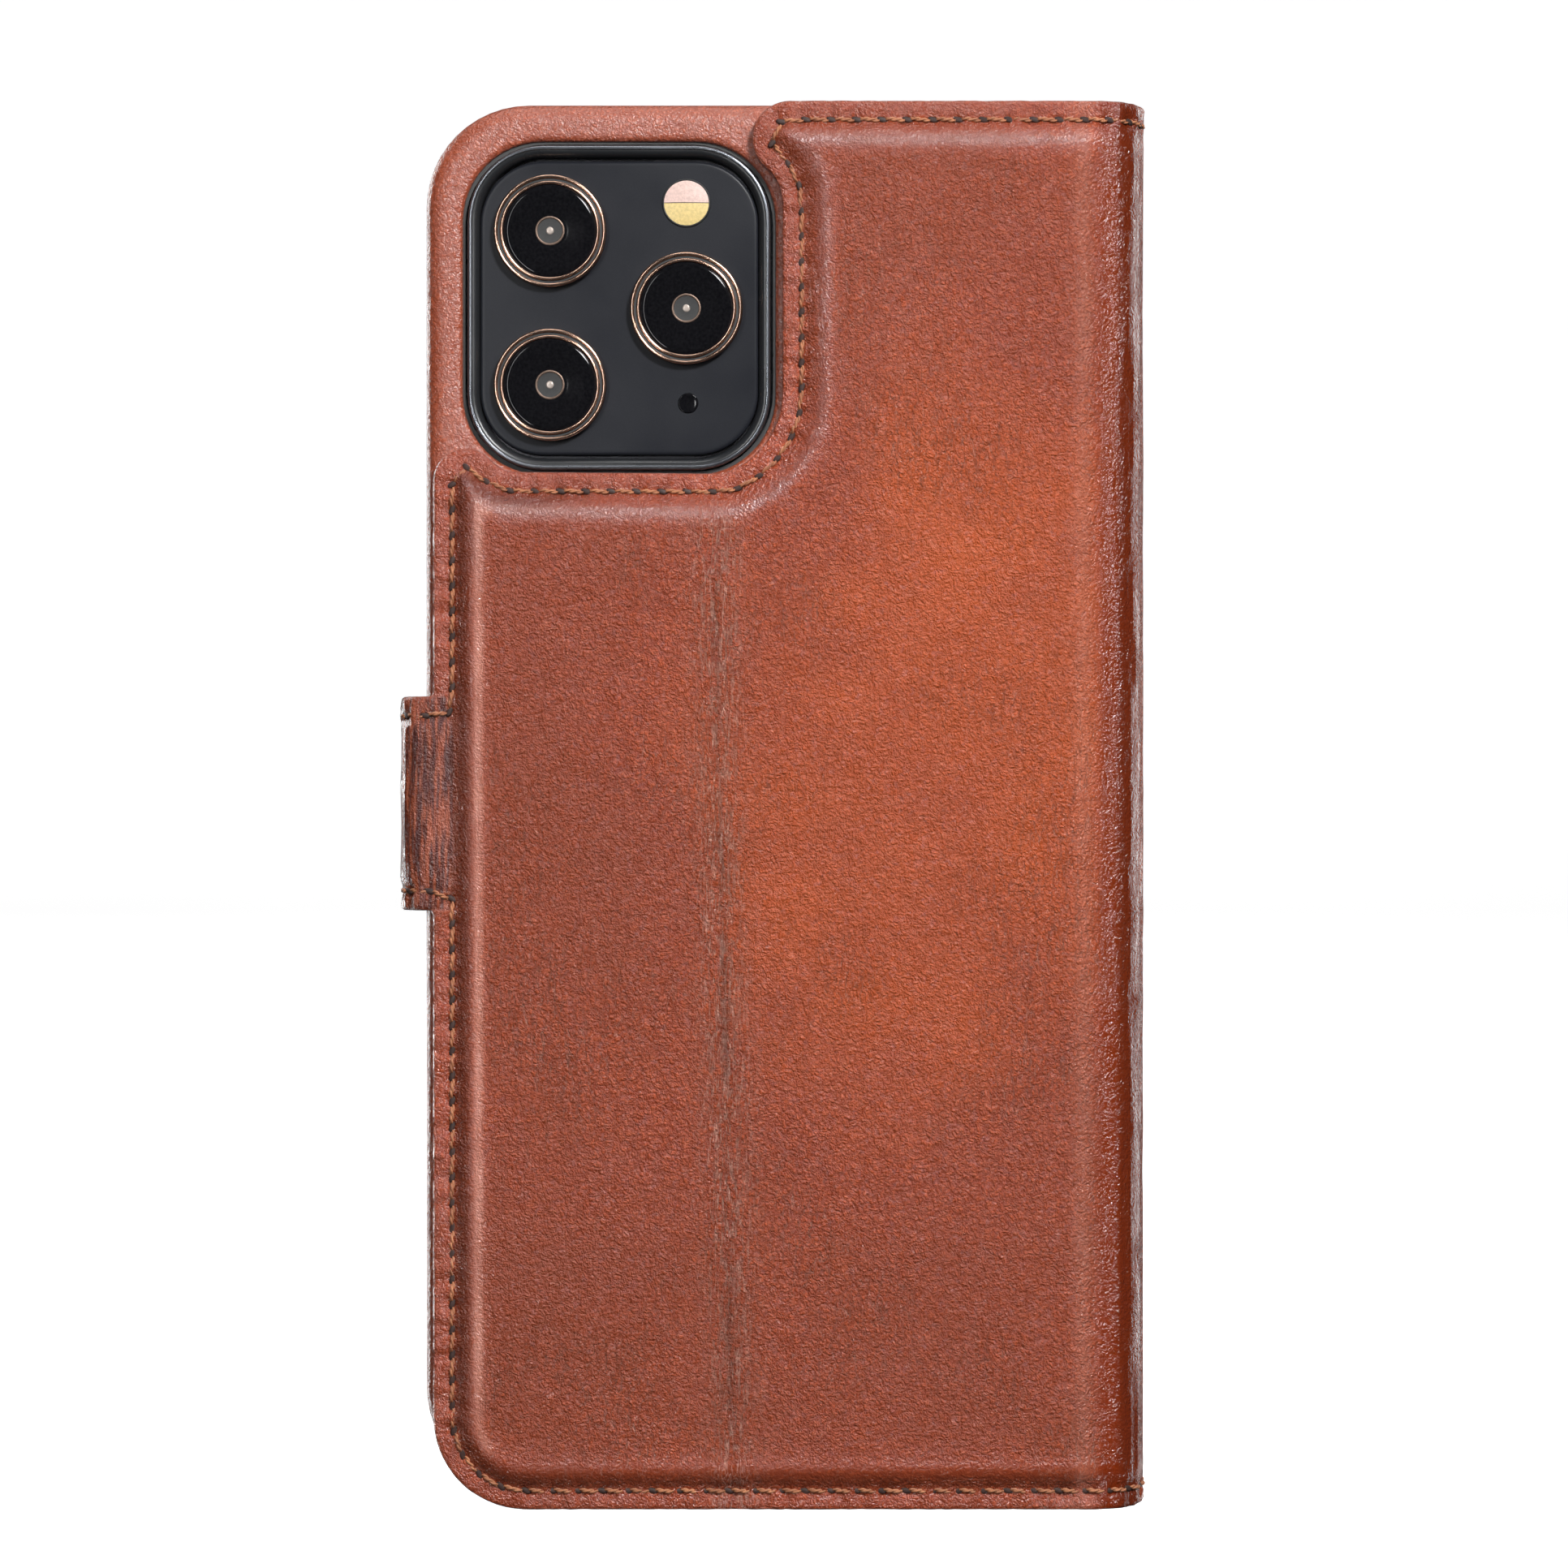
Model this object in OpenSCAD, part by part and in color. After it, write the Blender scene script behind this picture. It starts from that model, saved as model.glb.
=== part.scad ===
// Folio wallet case for a large phone: a leather covered holder, a padded back in
// two halves with a fold-out stand flap, a rounded spine, a front cover with card
// pockets, a magnetic closure strap, and a display phone in the holder.
// Frame: +Z up along the height, the back faces -Y, the spine is at +X.
// Origin: on the bottom edge of the back panel, middle of the width.

/* [Panels] */
// Height of the folio panels, mm
case_h = 167; // [165:0.5:172]
// Distance from the centre to the strap-side edge of the panels, mm
panel_left = 41.8; // [41.5:0.1:42]
// Distance from the centre to the outer face of the spine, mm
spine_out = 42.8; // [42.6:0.1:44]
// Outer radius of the wrap from a panel into the spine, mm
wrap_r = 6.3; // [5.8:0.1:6.6]
// Radius of the free corners of the panels, mm
corner_r = 11; // [9:0.5:13]
// Half of the closed thickness, out to the top of the padding, mm
half_depth = 10.2; // [10.1:0.1:10.6]
// Height of the padding above the stitched margin, mm
pad_rise = 1; // [0.8:0.1:1.2]
// Distance from the panel edge to the padding, mm
pad_inset = 3.6; // [3.2:0.1:4]

/* [Layers] */
// Thickness of the stitched leather margin, mm
margin_t = 1.2; // [1.1:0.1:1.3]
// Thickness of the suede lining, mm
lining_t = 0.6; // [0.5:0.1:0.6]
// Thickness of the stiffening board, mm
board_t = 0.6; // [0.4:0.1:0.6]
// Distance from the edge to the row of stitches, mm
stitch_inset = 2.2; // [1.8:0.1:2.6]
// Thickness of the sewing thread, mm
thread_d = 0.5; // [0.4:0.1:0.6]

/* [Stand fold] */
// Position of the fold line across the back, mm
fold_x = -7.5; // [-9:0.5:-7]
// Height of the tongue of the flap, mm
tongue_h = 125.8; // [125.6:0.1:126]
// Height of the flap edge below the camera window, mm
flap_h = 123; // [122.8:0.1:123.2]

/* [Closure strap] */
// Height of the middle of the strap, mm
strap_z = 83.7; // [70:0.5:90]
// Width of the strap, mm
strap_w = 25.4; // [20:0.2:30]
// Thickness of the strap, mm
strap_t = 1.8; // [1.7:0.1:1.9]
// Length of the tab that lies on the front cover, mm
tab_len = 24; // [20:0.5:30]
// Inward lean of the open tab, degrees
tab_lean = 6; // [2:1:7]
// Diameter of the strap magnet, mm
magnet_d = 10; // [8:0.5:12]

/* [Phone] */
// Width of the display phone, mm
phone_w = 78.1; // [77:0.1:78.2]
// Height of the display phone, mm
phone_h = 160.8; // [158:0.1:161]
// Thickness of the display phone, mm
phone_t = 7.4; // [7:0.1:7.5]
// Corner radius of the display phone, mm
phone_r = 10.4; // [9:0.2:12]
// Wall of the holder around the phone, mm
holder_wall = 1.2; // [1:0.1:1.2]
// Leather on the outside of the holder, mm
holder_skin = 0.7; // [0.6:0.1:0.7]

/* [Camera] */
// Width of the raised camera plate, mm
plate_w = 33.1; // [32:0.1:33.4]
// Height of the raised camera plate, mm
plate_h = 35; // [34:0.1:35.4]
// Outer radius of a lens ring, mm
lens_r = 6.7; // [6:0.1:7]
// Radius of the flash, mm
flash_r = 2.8; // [2:0.1:3]

/* [Pockets] */
// Height of the mouth of the cash pocket, mm
cash_h = 152; // [140:1:156]
// Height of the mouth of the lowest card pocket, mm
card_h = 90; // [86:1:94]
// Step from one card pocket to the next, mm
card_step = 14; // [10:1:16]
// Radius of the thumb notches, mm
thumb_r = 9; // [6:0.5:10]

/* [Hidden] */
$fn = 64;
margin_y = half_depth - pad_rise;
lining_y = margin_y - margin_t;
inside_y = lining_y - lining_t;
board_y = lining_y + board_t;
foam_y = half_depth - 0.8;
wrap_x = spine_out - wrap_r;
wrap_y = margin_y - wrap_r;
cut_deg = 1.4;
fold_gap = 0.2;
holder_left = panel_left + 1.1;
phone_x = -holder_left + holder_skin + holder_wall + phone_w / 2;
holder_w = phone_w + 2 * (holder_wall + holder_skin);
holder_h = phone_h + 2 * (holder_wall + holder_skin) + 0.6;
holder_z = case_h - holder_h / 2;
phone_back = -inside_y + 0.05 + holder_skin + holder_wall + 0.05;
phone_front = phone_back + phone_t;
lip_y = phone_front + 0.7;
edge_r = 2.4;
camera_x = -19.8;
camera_z = case_h - 24.4;
window_w = 37.2;
window_h = 39.6;
window_r = 9.5;
bezel_w = 36;
bezel_h = 38.6;
plate_y = phone_back - 1.6;
lens_y = plate_y - 1.6;
lens_pos = [[-8.2, 9.1], [8, -0.1], [-8.2, -9.2]];
mid_y = margin_y - margin_t / 2;
strap_x = panel_left + 0.5;
strap_wrap_r = 3.4;
strap_y = margin_y - strap_wrap_r;
strap_out = strap_x + strap_wrap_r;
strap_mid = strap_t - 1;
tab_x = strap_t - strap_out;
tab_y = half_depth + 0.4;
tab_gap = 0.25;
pocket_t = 0.7;
magnet_y = 14;

function arc(cx, cz, r, a0, a1, n = 10) = [
    for (i = [0:n]) [
        cx + r * cos(a0 + (a1 - a0) * i / n),
        cz + r * sin(a0 + (a1 - a0) * i / n)
    ]
];

// Strap-side half of the back: e is the inset from the edges, c from the fold line.
function flap_outline(e, c) = concat(
    [[fold_x - c, e]],
    arc(corner_r - panel_left, corner_r, corner_r - e, 270, 180),
    arc(-37.9, tongue_h - 3.9, 3.9 - e, 180, 40.5),
    arc(-31.84, tongue_h + 1.27, 4.07 + e, 220.5, 270),
    [[fold_x - c, flap_h - e]]
);

// Spine-side half of the back: e is the inset from the edges, c from the fold
// line and s from the start of the spine wrap.
function back_outline(e, c, s) = concat(
    [[wrap_x - s, e], [wrap_x - s, case_h - e]],
    arc(0.5, case_h - 4.5, 4.5 - min(e, 4.2), 90, 230),
    arc(-5.98, case_h - 12.22, 5.58 + min(e, 4.2), 50, 0),
    arc(-10.6, case_h - 34.5, 10.2 + e, 0, -acos((fold_x + 10.6 + c) / (10.2 + e))),
    [[fold_x + c, e]]
);

// Front cover: e is the inset from the edges, s from the start of the spine wrap.
function cover_outline(e, s) = concat(
    [[wrap_x - s, e], [wrap_x - s, case_h - e]],
    arc(corner_r - panel_left, case_h - corner_r, corner_r - e, 90, 180),
    arc(corner_r - panel_left, corner_r, corner_r - e, 180, 270)
);

// Plate between two depths, drawn from the back.
module slab(y0, y1) {
    translate([0, y1, 0])
        rotate([90, 0, 0])
            linear_extrude(y1 - y0)
                children();
}

// Plate of a back panel between two distances from the middle plane.
module layer(d0, d1) {
    slab(-d1, -d0)
        children();
}

module round_rect(w, h, r) {
    polygon(concat(
        arc(w / 2 - r, h / 2 - r, r, 0, 90),
        arc(r - w / 2, h / 2 - r, r, 90, 180),
        arc(r - w / 2, r - h / 2, r, 180, 270),
        arc(w / 2 - r, r - h / 2, r, 270, 360)
    ));
}

// Part of an upright tube between two angles.
module tube_part(x, y, r0, r1, a0, a1, z0, z1) {
    translate([x, y, z0])
        intersection() {
            difference() {
                cylinder(r = r1, h = z1 - z0);
                translate([0, 0, -1])
                    cylinder(r = r0, h = z1 - z0 + 2);
            }
            linear_extrude(z1 - z0)
                polygon([[0, 0], [12 * cos(a0), 12 * sin(a0)],
                    [12 * cos(a1), 12 * sin(a1)]]);
        }
}

// Wrap at the back of the spine, from the panel to the hinge line.
module back_wrap(r0, r1, z0, z1) {
    tube_part(wrap_x, -wrap_y, r0, r1, -90, -45 - cut_deg, z0, z1);
}

// Wraps on the spine's side of both hinge lines, and the flat between them.
module spine_wrap(r0, r1, z0, z1) {
    for (m = [0, 1])
        mirror([0, m, 0])
            tube_part(wrap_x, -wrap_y, r0, r1, -45 + cut_deg, 0, z0, z1);
    translate([wrap_x + r0, -wrap_y - 0.01, z0])
        cube([r1 - r0, 2 * wrap_y + 0.02, z1 - z0]);
}

// Row of stitches between two outlines, open where the inner one runs past.
module stitch_row(y, outer, inner) {
    layer(y, y + thread_d * 0.6)
        difference() {
            polygon(outer);
            polygon(inner);
        }
}

// Round-backed block of the holder: g is the inset from its outside.
module holder_block(g, front) {
    r = edge_r - g;
    for (a = [0, 18, 36, 54, 72, 90])
        slab(-inside_y + 0.05 + g + r * (1 - cos(a)), front)
            translate([phone_x, holder_z])
                round_rect(holder_w - 2 * g - 2 * r * (1 - sin(a)),
                    holder_h - 2 * g - 2 * r * (1 - sin(a)), phone_r + 1.9 - g);
}

// Openings for the camera, the charging port, the speaker and the side buttons.
module holder_openings(window_grow) {
    slab(-20, phone_back + 0.5)
        translate([camera_x, camera_z])
            round_rect(window_w + window_grow, window_h + window_grow, window_r);
    translate([phone_x - 24, phone_back + 1, case_h - holder_h - 1])
        cube([48, 5.2, 6]);
    translate([-holder_left - 1, phone_back + 1, 106])
        cube([6, 5.2, 20]);
    translate([phone_x + phone_w / 2 - 2, phone_back + 1, 100])
        cube([6, 5.2, 32]);
}

module shell_core() {
    color([0.1, 0.09, 0.09])
        difference() {
            holder_block(holder_skin, lip_y);
            slab(phone_back - 0.05, phone_front + 0.05)
                translate([phone_x, holder_z])
                    round_rect(phone_w + 0.1, phone_h + 0.7, phone_r);
            slab(phone_front, lip_y + 1)
                translate([phone_x, holder_z])
                    round_rect(phone_w - 1.4, phone_h - 1, phone_r - 0.7);
            holder_openings(-0.6);
        }
}

module shell_leather() {
    color([0.6, 0.33, 0.24])
        difference() {
            holder_block(0, lip_y - 0.4);
            holder_block(holder_skin, lip_y + 1);
            holder_openings(0);
        }
}

module camera_bezel() {
    color([0.2, 0.2, 0.21])
        slab(phone_back - 2.4, phone_back - 0.02)
            translate([camera_x, camera_z])
                difference() {
                    round_rect(bezel_w, bezel_h, window_r - 0.5);
                    round_rect(plate_w + 0.1, plate_h + 0.1, window_r - 1.9);
                }
}

module back_leather() {
    color([0.64, 0.35, 0.25]) {
        difference() {
            union() {
                layer(lining_y, margin_y)
                    polygon(back_outline(0, fold_gap, 0));
                layer(margin_y - 0.1, half_depth)
                    polygon(back_outline(pad_inset, 1.2, 0));
            }
            layer(lining_y - 1, foam_y)
                polygon(back_outline(pad_inset + 0.8, 2, 1));
        }
        back_wrap(wrap_r - margin_t, wrap_r, 0, case_h);
    }
}

module back_foam() {
    color([0.85, 0.82, 0.75])
        layer(board_y, foam_y)
            polygon(back_outline(pad_inset + 0.9, 2.1, 1.1));
}

module back_board() {
    color([0.45, 0.38, 0.3])
        layer(lining_y, board_y)
            polygon(back_outline(pad_inset + 0.9, 2.1, 1.1));
}

module back_lining() {
    color([0.5, 0.36, 0.28]) {
        layer(inside_y, lining_y)
            polygon(back_outline(0, fold_gap, 0));
        back_wrap(wrap_r - margin_t - lining_t, wrap_r - margin_t, 0, case_h);
    }
}

module back_thread() {
    color([0.78, 0.5, 0.3]) {
        stitch_row(margin_y, back_outline(stitch_inset - thread_d / 2, 0.6, 0),
            back_outline(stitch_inset + thread_d / 2, -1, -1));
        for (z = [stitch_inset - thread_d / 2, case_h - stitch_inset - thread_d / 2])
            back_wrap(wrap_r, wrap_r + thread_d * 0.6, z, z + thread_d);
    }
}

module phone_body() {
    color([0.16, 0.16, 0.17])
        slab(phone_back, phone_front - 0.6)
            translate([phone_x, holder_z])
                round_rect(phone_w, phone_h, phone_r);
}

module phone_screen() {
    color([0.03, 0.03, 0.035])
        slab(phone_front - 0.6, phone_front)
            translate([phone_x, holder_z])
                round_rect(phone_w - 0.8, phone_h - 0.8, phone_r - 0.4);
}

module camera_plate() {
    color([0.17, 0.17, 0.18])
        slab(plate_y, phone_back)
            translate([camera_x, camera_z])
                round_rect(plate_w, plate_h, window_r - 2);
}

module at_lens(i) {
    translate([camera_x + lens_pos[i][0], 0, camera_z + lens_pos[i][1]])
        rotate([90, 0, 0])
            children();
}

module lens_ring(i) {
    color([0.5, 0.4, 0.33])
        at_lens(i)
            difference() {
                translate([0, 0, -plate_y])
                    cylinder(r = lens_r, h = plate_y - lens_y);
                translate([0, 0, -plate_y - 1])
                    cylinder(r = lens_r - 1.1, h = plate_y - lens_y + 2);
            }
}

module lens_glass(i) {
    color([0.02, 0.02, 0.03])
        at_lens(i)
            translate([0, 0, -plate_y])
                cylinder(r = lens_r - 1.15, h = plate_y - lens_y - 0.3);
}

module flash_lens() {
    color([0.95, 0.85, 0.65])
        translate([camera_x + 8, 0, camera_z + 12.5])
            rotate([90, 0, 0])
                translate([0, 0, -plate_y])
                    cylinder(r = flash_r, h = 0.4);
}

module camera_sensor() {
    color([0.02, 0.02, 0.02])
        translate([camera_x + 8.2, 0, camera_z - 11.3])
            rotate([90, 0, 0])
                translate([0, 0, -plate_y])
                    cylinder(r = 1.15, h = 0.2);
}

module flap_leather() {
    color([0.6, 0.33, 0.24]) {
        difference() {
            union() {
                layer(lining_y, margin_y)
                    polygon(flap_outline(0, fold_gap));
                layer(margin_y - 0.1, half_depth)
                    polygon(flap_outline(pad_inset, 1.2));
            }
            layer(lining_y - 1, foam_y)
                polygon(flap_outline(pad_inset + 0.2, 2));
        }
        strap_root(strap_wrap_r - 1, strap_wrap_r);
        translate([-strap_x, -margin_y, strap_z - strap_w / 2])
            cube([strap_x - panel_left + 0.5, 1, strap_w]);
    }
}

// First eighth of the strap's bend, on the flap's side of its hinge line.
module strap_root(r0, r1) {
    tube_part(-strap_x, -strap_y, r0, r1, -90, -135 + 2 * cut_deg,
        strap_z - strap_w / 2, strap_z + strap_w / 2);
}

module flap_foam() {
    color([0.85, 0.82, 0.75])
        layer(board_y, foam_y)
            polygon(flap_outline(pad_inset + 0.25, 2.1));
}

module flap_board() {
    color([0.45, 0.38, 0.3])
        layer(lining_y, board_y)
            polygon(flap_outline(pad_inset + 0.25, 2.1));
}

module flap_lining() {
    color([0.5, 0.36, 0.28]) {
        layer(inside_y, lining_y)
            polygon(flap_outline(0, fold_gap));
        strap_root(strap_wrap_r - strap_t, strap_wrap_r - 1);
        translate([-strap_x, -lining_y, strap_z - strap_w / 2])
            cube([strap_x - panel_left + 0.3, lining_t, strap_w]);
    }
}

module flap_thread() {
    color([0.78, 0.5, 0.3])
        stitch_row(margin_y, flap_outline(stitch_inset - thread_d / 2, 0.6),
            flap_outline(stitch_inset + thread_d / 2, -1));
}

// Side section of the strap between two depths below its outer face.
module strap_side(t0, t1) {
    tube_part(-strap_x, -strap_y, strap_wrap_r - t1, strap_wrap_r - t0,
        -135 - 2 * cut_deg, -180, strap_z - strap_w / 2, strap_z + strap_w / 2);
    translate([t0 - strap_out, -strap_y - 0.01, strap_z - strap_w / 2])
        cube([t1 - t0, tab_y + strap_y - tab_gap, strap_w]);
}

module strap_leather() {
    color([0.45, 0.22, 0.16])
        strap_side(0, 1);
}

module strap_backing() {
    color([0.5, 0.36, 0.28])
        strap_side(1, strap_t);
}

module strap_thread() {
    color([0.78, 0.5, 0.3])
        for (s = [-1, 1])
            translate([-strap_out - thread_d * 0.6, -strap_y,
                    strap_z + s * (strap_w / 2 - stitch_inset) - thread_d / 2])
                cube([thread_d * 0.6, tab_y + strap_y - tab_gap - 0.5, thread_d]);
}

// Tab between two depths below its outer face, g is the inset from its outline.
module tab_plate(t0, t1, g) {
    translate([tab_x, tab_y, strap_z])
        rotate([0, 0, -tab_lean])
            translate([t0 - strap_t, 0, 0])
                rotate([90, 0, 90])
                    linear_extrude(t1 - t0)
                        difference() {
                            translate([g, 0])
                                tab_shape(g);
                            translate([-1 - tab_len, -strap_w])
                                square([1 + tab_len + tab_gap, 2 * strap_w]);
                        }
}

module tab_shape(g) {
    translate([-g, 0])
        polygon(concat(
            [[0, g - strap_w / 2]],
            arc(tab_len - 8, 8 - strap_w / 2, 8 - g, 270, 360),
            arc(tab_len - 8, strap_w / 2 - 8, 8 - g, 0, 90),
            [[0, strap_w / 2 - g]]
        ));
}

module at_magnet() {
    translate([tab_x, tab_y, strap_z])
        rotate([0, 0, -tab_lean])
            translate([0, magnet_y, 0])
                rotate([0, -90, 0])
                    children();
}

module tab_leather() {
    color([0.6, 0.33, 0.24])
        difference() {
            tab_plate(0, 1, 0);
            at_magnet()
                translate([0, 0, 0.4])
                    cylinder(d = magnet_d, h = 1);
        }
}

module tab_backing() {
    color([0.5, 0.36, 0.28])
        difference() {
            tab_plate(1, strap_t, 0);
            at_magnet()
                translate([0, 0, 0.4])
                    cylinder(d = magnet_d, h = 1);
        }
}

module tab_magnet() {
    color([0.6, 0.6, 0.62])
        at_magnet()
            translate([0, 0, 0.4])
                cylinder(d = magnet_d, h = 1);
}

module tab_thread() {
    color([0.78, 0.5, 0.3])
        difference() {
            tab_plate(-thread_d * 0.6, 0, stitch_inset - thread_d / 2);
            tab_plate(-1, 1, stitch_inset + thread_d / 2);
        }
}

module spine_leather() {
    color([0.6, 0.33, 0.24])
        spine_wrap(wrap_r - margin_t, wrap_r, 0, case_h);
}

module spine_lining() {
    color([0.5, 0.36, 0.28])
        spine_wrap(wrap_r - margin_t - lining_t, wrap_r - margin_t, 0, case_h);
}

module spine_thread() {
    color([0.78, 0.5, 0.3])
        for (z = [stitch_inset - thread_d / 2, case_h - stitch_inset - thread_d / 2])
            spine_wrap(wrap_r, wrap_r + thread_d * 0.6, z, z + thread_d);
}

module front_leather() {
    color([0.6, 0.33, 0.24])
        mirror([0, 1, 0]) {
            difference() {
                union() {
                    layer(lining_y, margin_y)
                        polygon(cover_outline(0, 0));
                    layer(margin_y - 0.1, half_depth)
                        polygon(cover_outline(pad_inset, 0));
                }
                layer(lining_y - 1, foam_y)
                    polygon(cover_outline(pad_inset + 0.8, 1));
            }
            back_wrap(wrap_r - margin_t, wrap_r, 0, case_h);
        }
}

module front_foam() {
    color([0.85, 0.82, 0.75])
        mirror([0, 1, 0])
            layer(board_y, foam_y)
                difference() {
                    polygon(cover_outline(pad_inset + 0.9, 1.1));
                    translate([tab_x + magnet_y, strap_z])
                        circle(d = magnet_d + 2.1);
                }
}

module front_board() {
    color([0.45, 0.38, 0.3])
        mirror([0, 1, 0])
            layer(lining_y + 0.2, board_y)
                polygon(cover_outline(pad_inset + 0.9, 1.1));
}

module front_shield() {
    color([0.7, 0.7, 0.72])
        mirror([0, 1, 0])
            layer(lining_y, lining_y + 0.2)
                polygon(cover_outline(pad_inset + 0.9, 1.1));
}

module front_lining() {
    color([0.5, 0.36, 0.28])
        mirror([0, 1, 0]) {
            layer(inside_y, lining_y)
                polygon(cover_outline(0, 0));
            back_wrap(wrap_r - margin_t - lining_t, wrap_r - margin_t, 0, case_h);
        }
}

module front_magnet() {
    color([0.6, 0.6, 0.62])
        mirror([0, 1, 0])
            layer(board_y, foam_y)
                translate([tab_x + magnet_y, strap_z])
                    circle(d = magnet_d + 2);
}

module front_thread() {
    color([0.78, 0.5, 0.3])
        mirror([0, 1, 0]) {
            stitch_row(margin_y, cover_outline(stitch_inset - thread_d / 2, 0),
                cover_outline(stitch_inset + thread_d / 2, -1));
            for (z = [stitch_inset - thread_d / 2, case_h - stitch_inset - thread_d / 2])
                back_wrap(wrap_r, wrap_r + thread_d * 0.6, z, z + thread_d);
        }
}

// Pocket leaf: n counts the leaves from the lining towards the phone.
module pocket(n, mouth, notch) {
    slab(inside_y - (n + 1) * pocket_t, inside_y - n * pocket_t)
        difference() {
            intersection() {
                polygon(cover_outline(1, 2.5));
                translate([-60, 0])
                    square([120, mouth]);
            }
            translate([phone_x, mouth + notch / 3])
                circle(r = notch);
        }
}

module cash_pocket() {
    color([0.58, 0.33, 0.24])
        pocket(0, cash_h, 0.01);
}

module card_pocket_top() {
    color([0.58, 0.33, 0.24])
        pocket(1, card_h + 2 * card_step, thumb_r);
}

module card_pocket_mid() {
    color([0.58, 0.33, 0.24])
        pocket(2, card_h + card_step, thumb_r);
}

module card_pocket_low() {
    color([0.58, 0.33, 0.24])
        difference() {
            pocket(3, card_h, thumb_r);
            slab(-1, inside_y)
                translate([phone_x, 42])
                    round_rect(56, 62, 4);
        }
}

module id_window() {
    color([0.8, 0.85, 0.9, 0.5])
        slab(inside_y - 3.3 * pocket_t, inside_y - 3 * pocket_t)
            translate([phone_x, 42])
                round_rect(56, 62, 4);
}

module pocket_thread() {
    color([0.78, 0.5, 0.3])
        slab(inside_y - 4 * pocket_t - thread_d * 0.6, inside_y - 4 * pocket_t)
            intersection() {
                difference() {
                    polygon(cover_outline(2.6, 4));
                    polygon(cover_outline(3.1, 4.5));
                }
                translate([-60, 0])
                    square([120, card_h - 2]);
            }
}

translate([0, mid_y, 0]) shell_core();
translate([0, mid_y, 0]) shell_leather();
translate([0, mid_y, 0]) camera_bezel();
translate([0, mid_y, 0]) back_leather();
translate([0, mid_y, 0]) back_foam();
translate([0, mid_y, 0]) back_board();
translate([0, mid_y, 0]) back_lining();
translate([0, mid_y, 0]) back_thread();
translate([0, mid_y, 0]) phone_body();
translate([0, mid_y, 0]) phone_screen();
translate([0, mid_y, 0]) camera_plate();
translate([0, mid_y, 0]) lens_ring(0);  // lens_ring_top
translate([0, mid_y, 0]) lens_ring(1);  // lens_ring_side
translate([0, mid_y, 0]) lens_ring(2);  // lens_ring_low
translate([0, mid_y, 0]) lens_glass(0);  // lens_glass_top
translate([0, mid_y, 0]) lens_glass(1);  // lens_glass_side
translate([0, mid_y, 0]) lens_glass(2);  // lens_glass_low
translate([0, mid_y, 0]) flash_lens();
translate([0, mid_y, 0]) camera_sensor();
translate([0, mid_y, 0]) flap_leather();
translate([0, mid_y, 0]) flap_foam();
translate([0, mid_y, 0]) flap_board();
translate([0, mid_y, 0]) flap_lining();
translate([0, mid_y, 0]) flap_thread();
translate([0, mid_y, 0]) strap_leather();
translate([0, mid_y, 0]) strap_backing();
translate([0, mid_y, 0]) strap_thread();
translate([0, mid_y, 0]) tab_leather();
translate([0, mid_y, 0]) tab_backing();
translate([0, mid_y, 0]) tab_magnet();
translate([0, mid_y, 0]) tab_thread();
translate([0, mid_y, 0]) spine_leather();
translate([0, mid_y, 0]) spine_lining();
translate([0, mid_y, 0]) spine_thread();
translate([0, mid_y, 0]) front_leather();
translate([0, mid_y, 0]) front_foam();
translate([0, mid_y, 0]) front_board();
translate([0, mid_y, 0]) front_shield();
translate([0, mid_y, 0]) front_lining();
translate([0, mid_y, 0]) front_magnet();
translate([0, mid_y, 0]) front_thread();
translate([0, mid_y, 0]) cash_pocket();
translate([0, mid_y, 0]) card_pocket_top();
translate([0, mid_y, 0]) card_pocket_mid();
translate([0, mid_y, 0]) card_pocket_low();
translate([0, mid_y, 0]) id_window();
translate([0, mid_y, 0]) pocket_thread();
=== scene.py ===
import math
import bpy
import bmesh
import numpy as np
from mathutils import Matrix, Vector


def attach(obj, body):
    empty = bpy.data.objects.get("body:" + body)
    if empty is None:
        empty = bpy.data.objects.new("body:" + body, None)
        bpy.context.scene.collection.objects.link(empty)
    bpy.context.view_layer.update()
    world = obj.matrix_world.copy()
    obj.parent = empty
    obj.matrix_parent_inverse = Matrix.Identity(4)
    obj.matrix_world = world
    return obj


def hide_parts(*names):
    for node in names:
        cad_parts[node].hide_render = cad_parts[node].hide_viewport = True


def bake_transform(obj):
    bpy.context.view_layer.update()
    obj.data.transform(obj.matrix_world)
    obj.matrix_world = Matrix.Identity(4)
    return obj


# Phone wallet case, closed, seen from its back: the visible surfaces round the CAD frame.
# The leather is one flat sheet with a relief, in mm: u runs from the strap's end over the
# back and the spine to the front cover, z is the height and h stands off the sheet.
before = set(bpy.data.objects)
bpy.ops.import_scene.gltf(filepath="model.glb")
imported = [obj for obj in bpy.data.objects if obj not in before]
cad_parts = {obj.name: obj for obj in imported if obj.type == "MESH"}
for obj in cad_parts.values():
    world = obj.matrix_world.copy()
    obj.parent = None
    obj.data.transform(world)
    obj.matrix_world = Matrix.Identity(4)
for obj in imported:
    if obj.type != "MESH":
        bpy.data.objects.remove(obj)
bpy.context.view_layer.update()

# ---------------------------------------------------------------- sizes, mm
CASE_H = 167.0
LEFT = 41.8  # from the middle to the strap-side edge
WRAP_X, WRAP_R, MARGIN = 36.5, 6.3, 9.2  # the spine's rounded corners, the margins' depth
WRAP_Y = MARGIN - WRAP_R
SIDE_X = WRAP_X + WRAP_R
ARC = WRAP_R * math.pi / 2
U_SIDE = WRAP_X + ARC
U_SIDE2 = U_SIDE + 2 * WRAP_Y
U_FRONT = U_SIDE2 + ARC
U_END = U_FRONT + WRAP_X + LEFT
STRAP_X, STRAP_R, STRAP_Z, STRAP_W = 42.3, 3.4, 83.7, 25.4
STRAP_Y = MARGIN - STRAP_R
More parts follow.
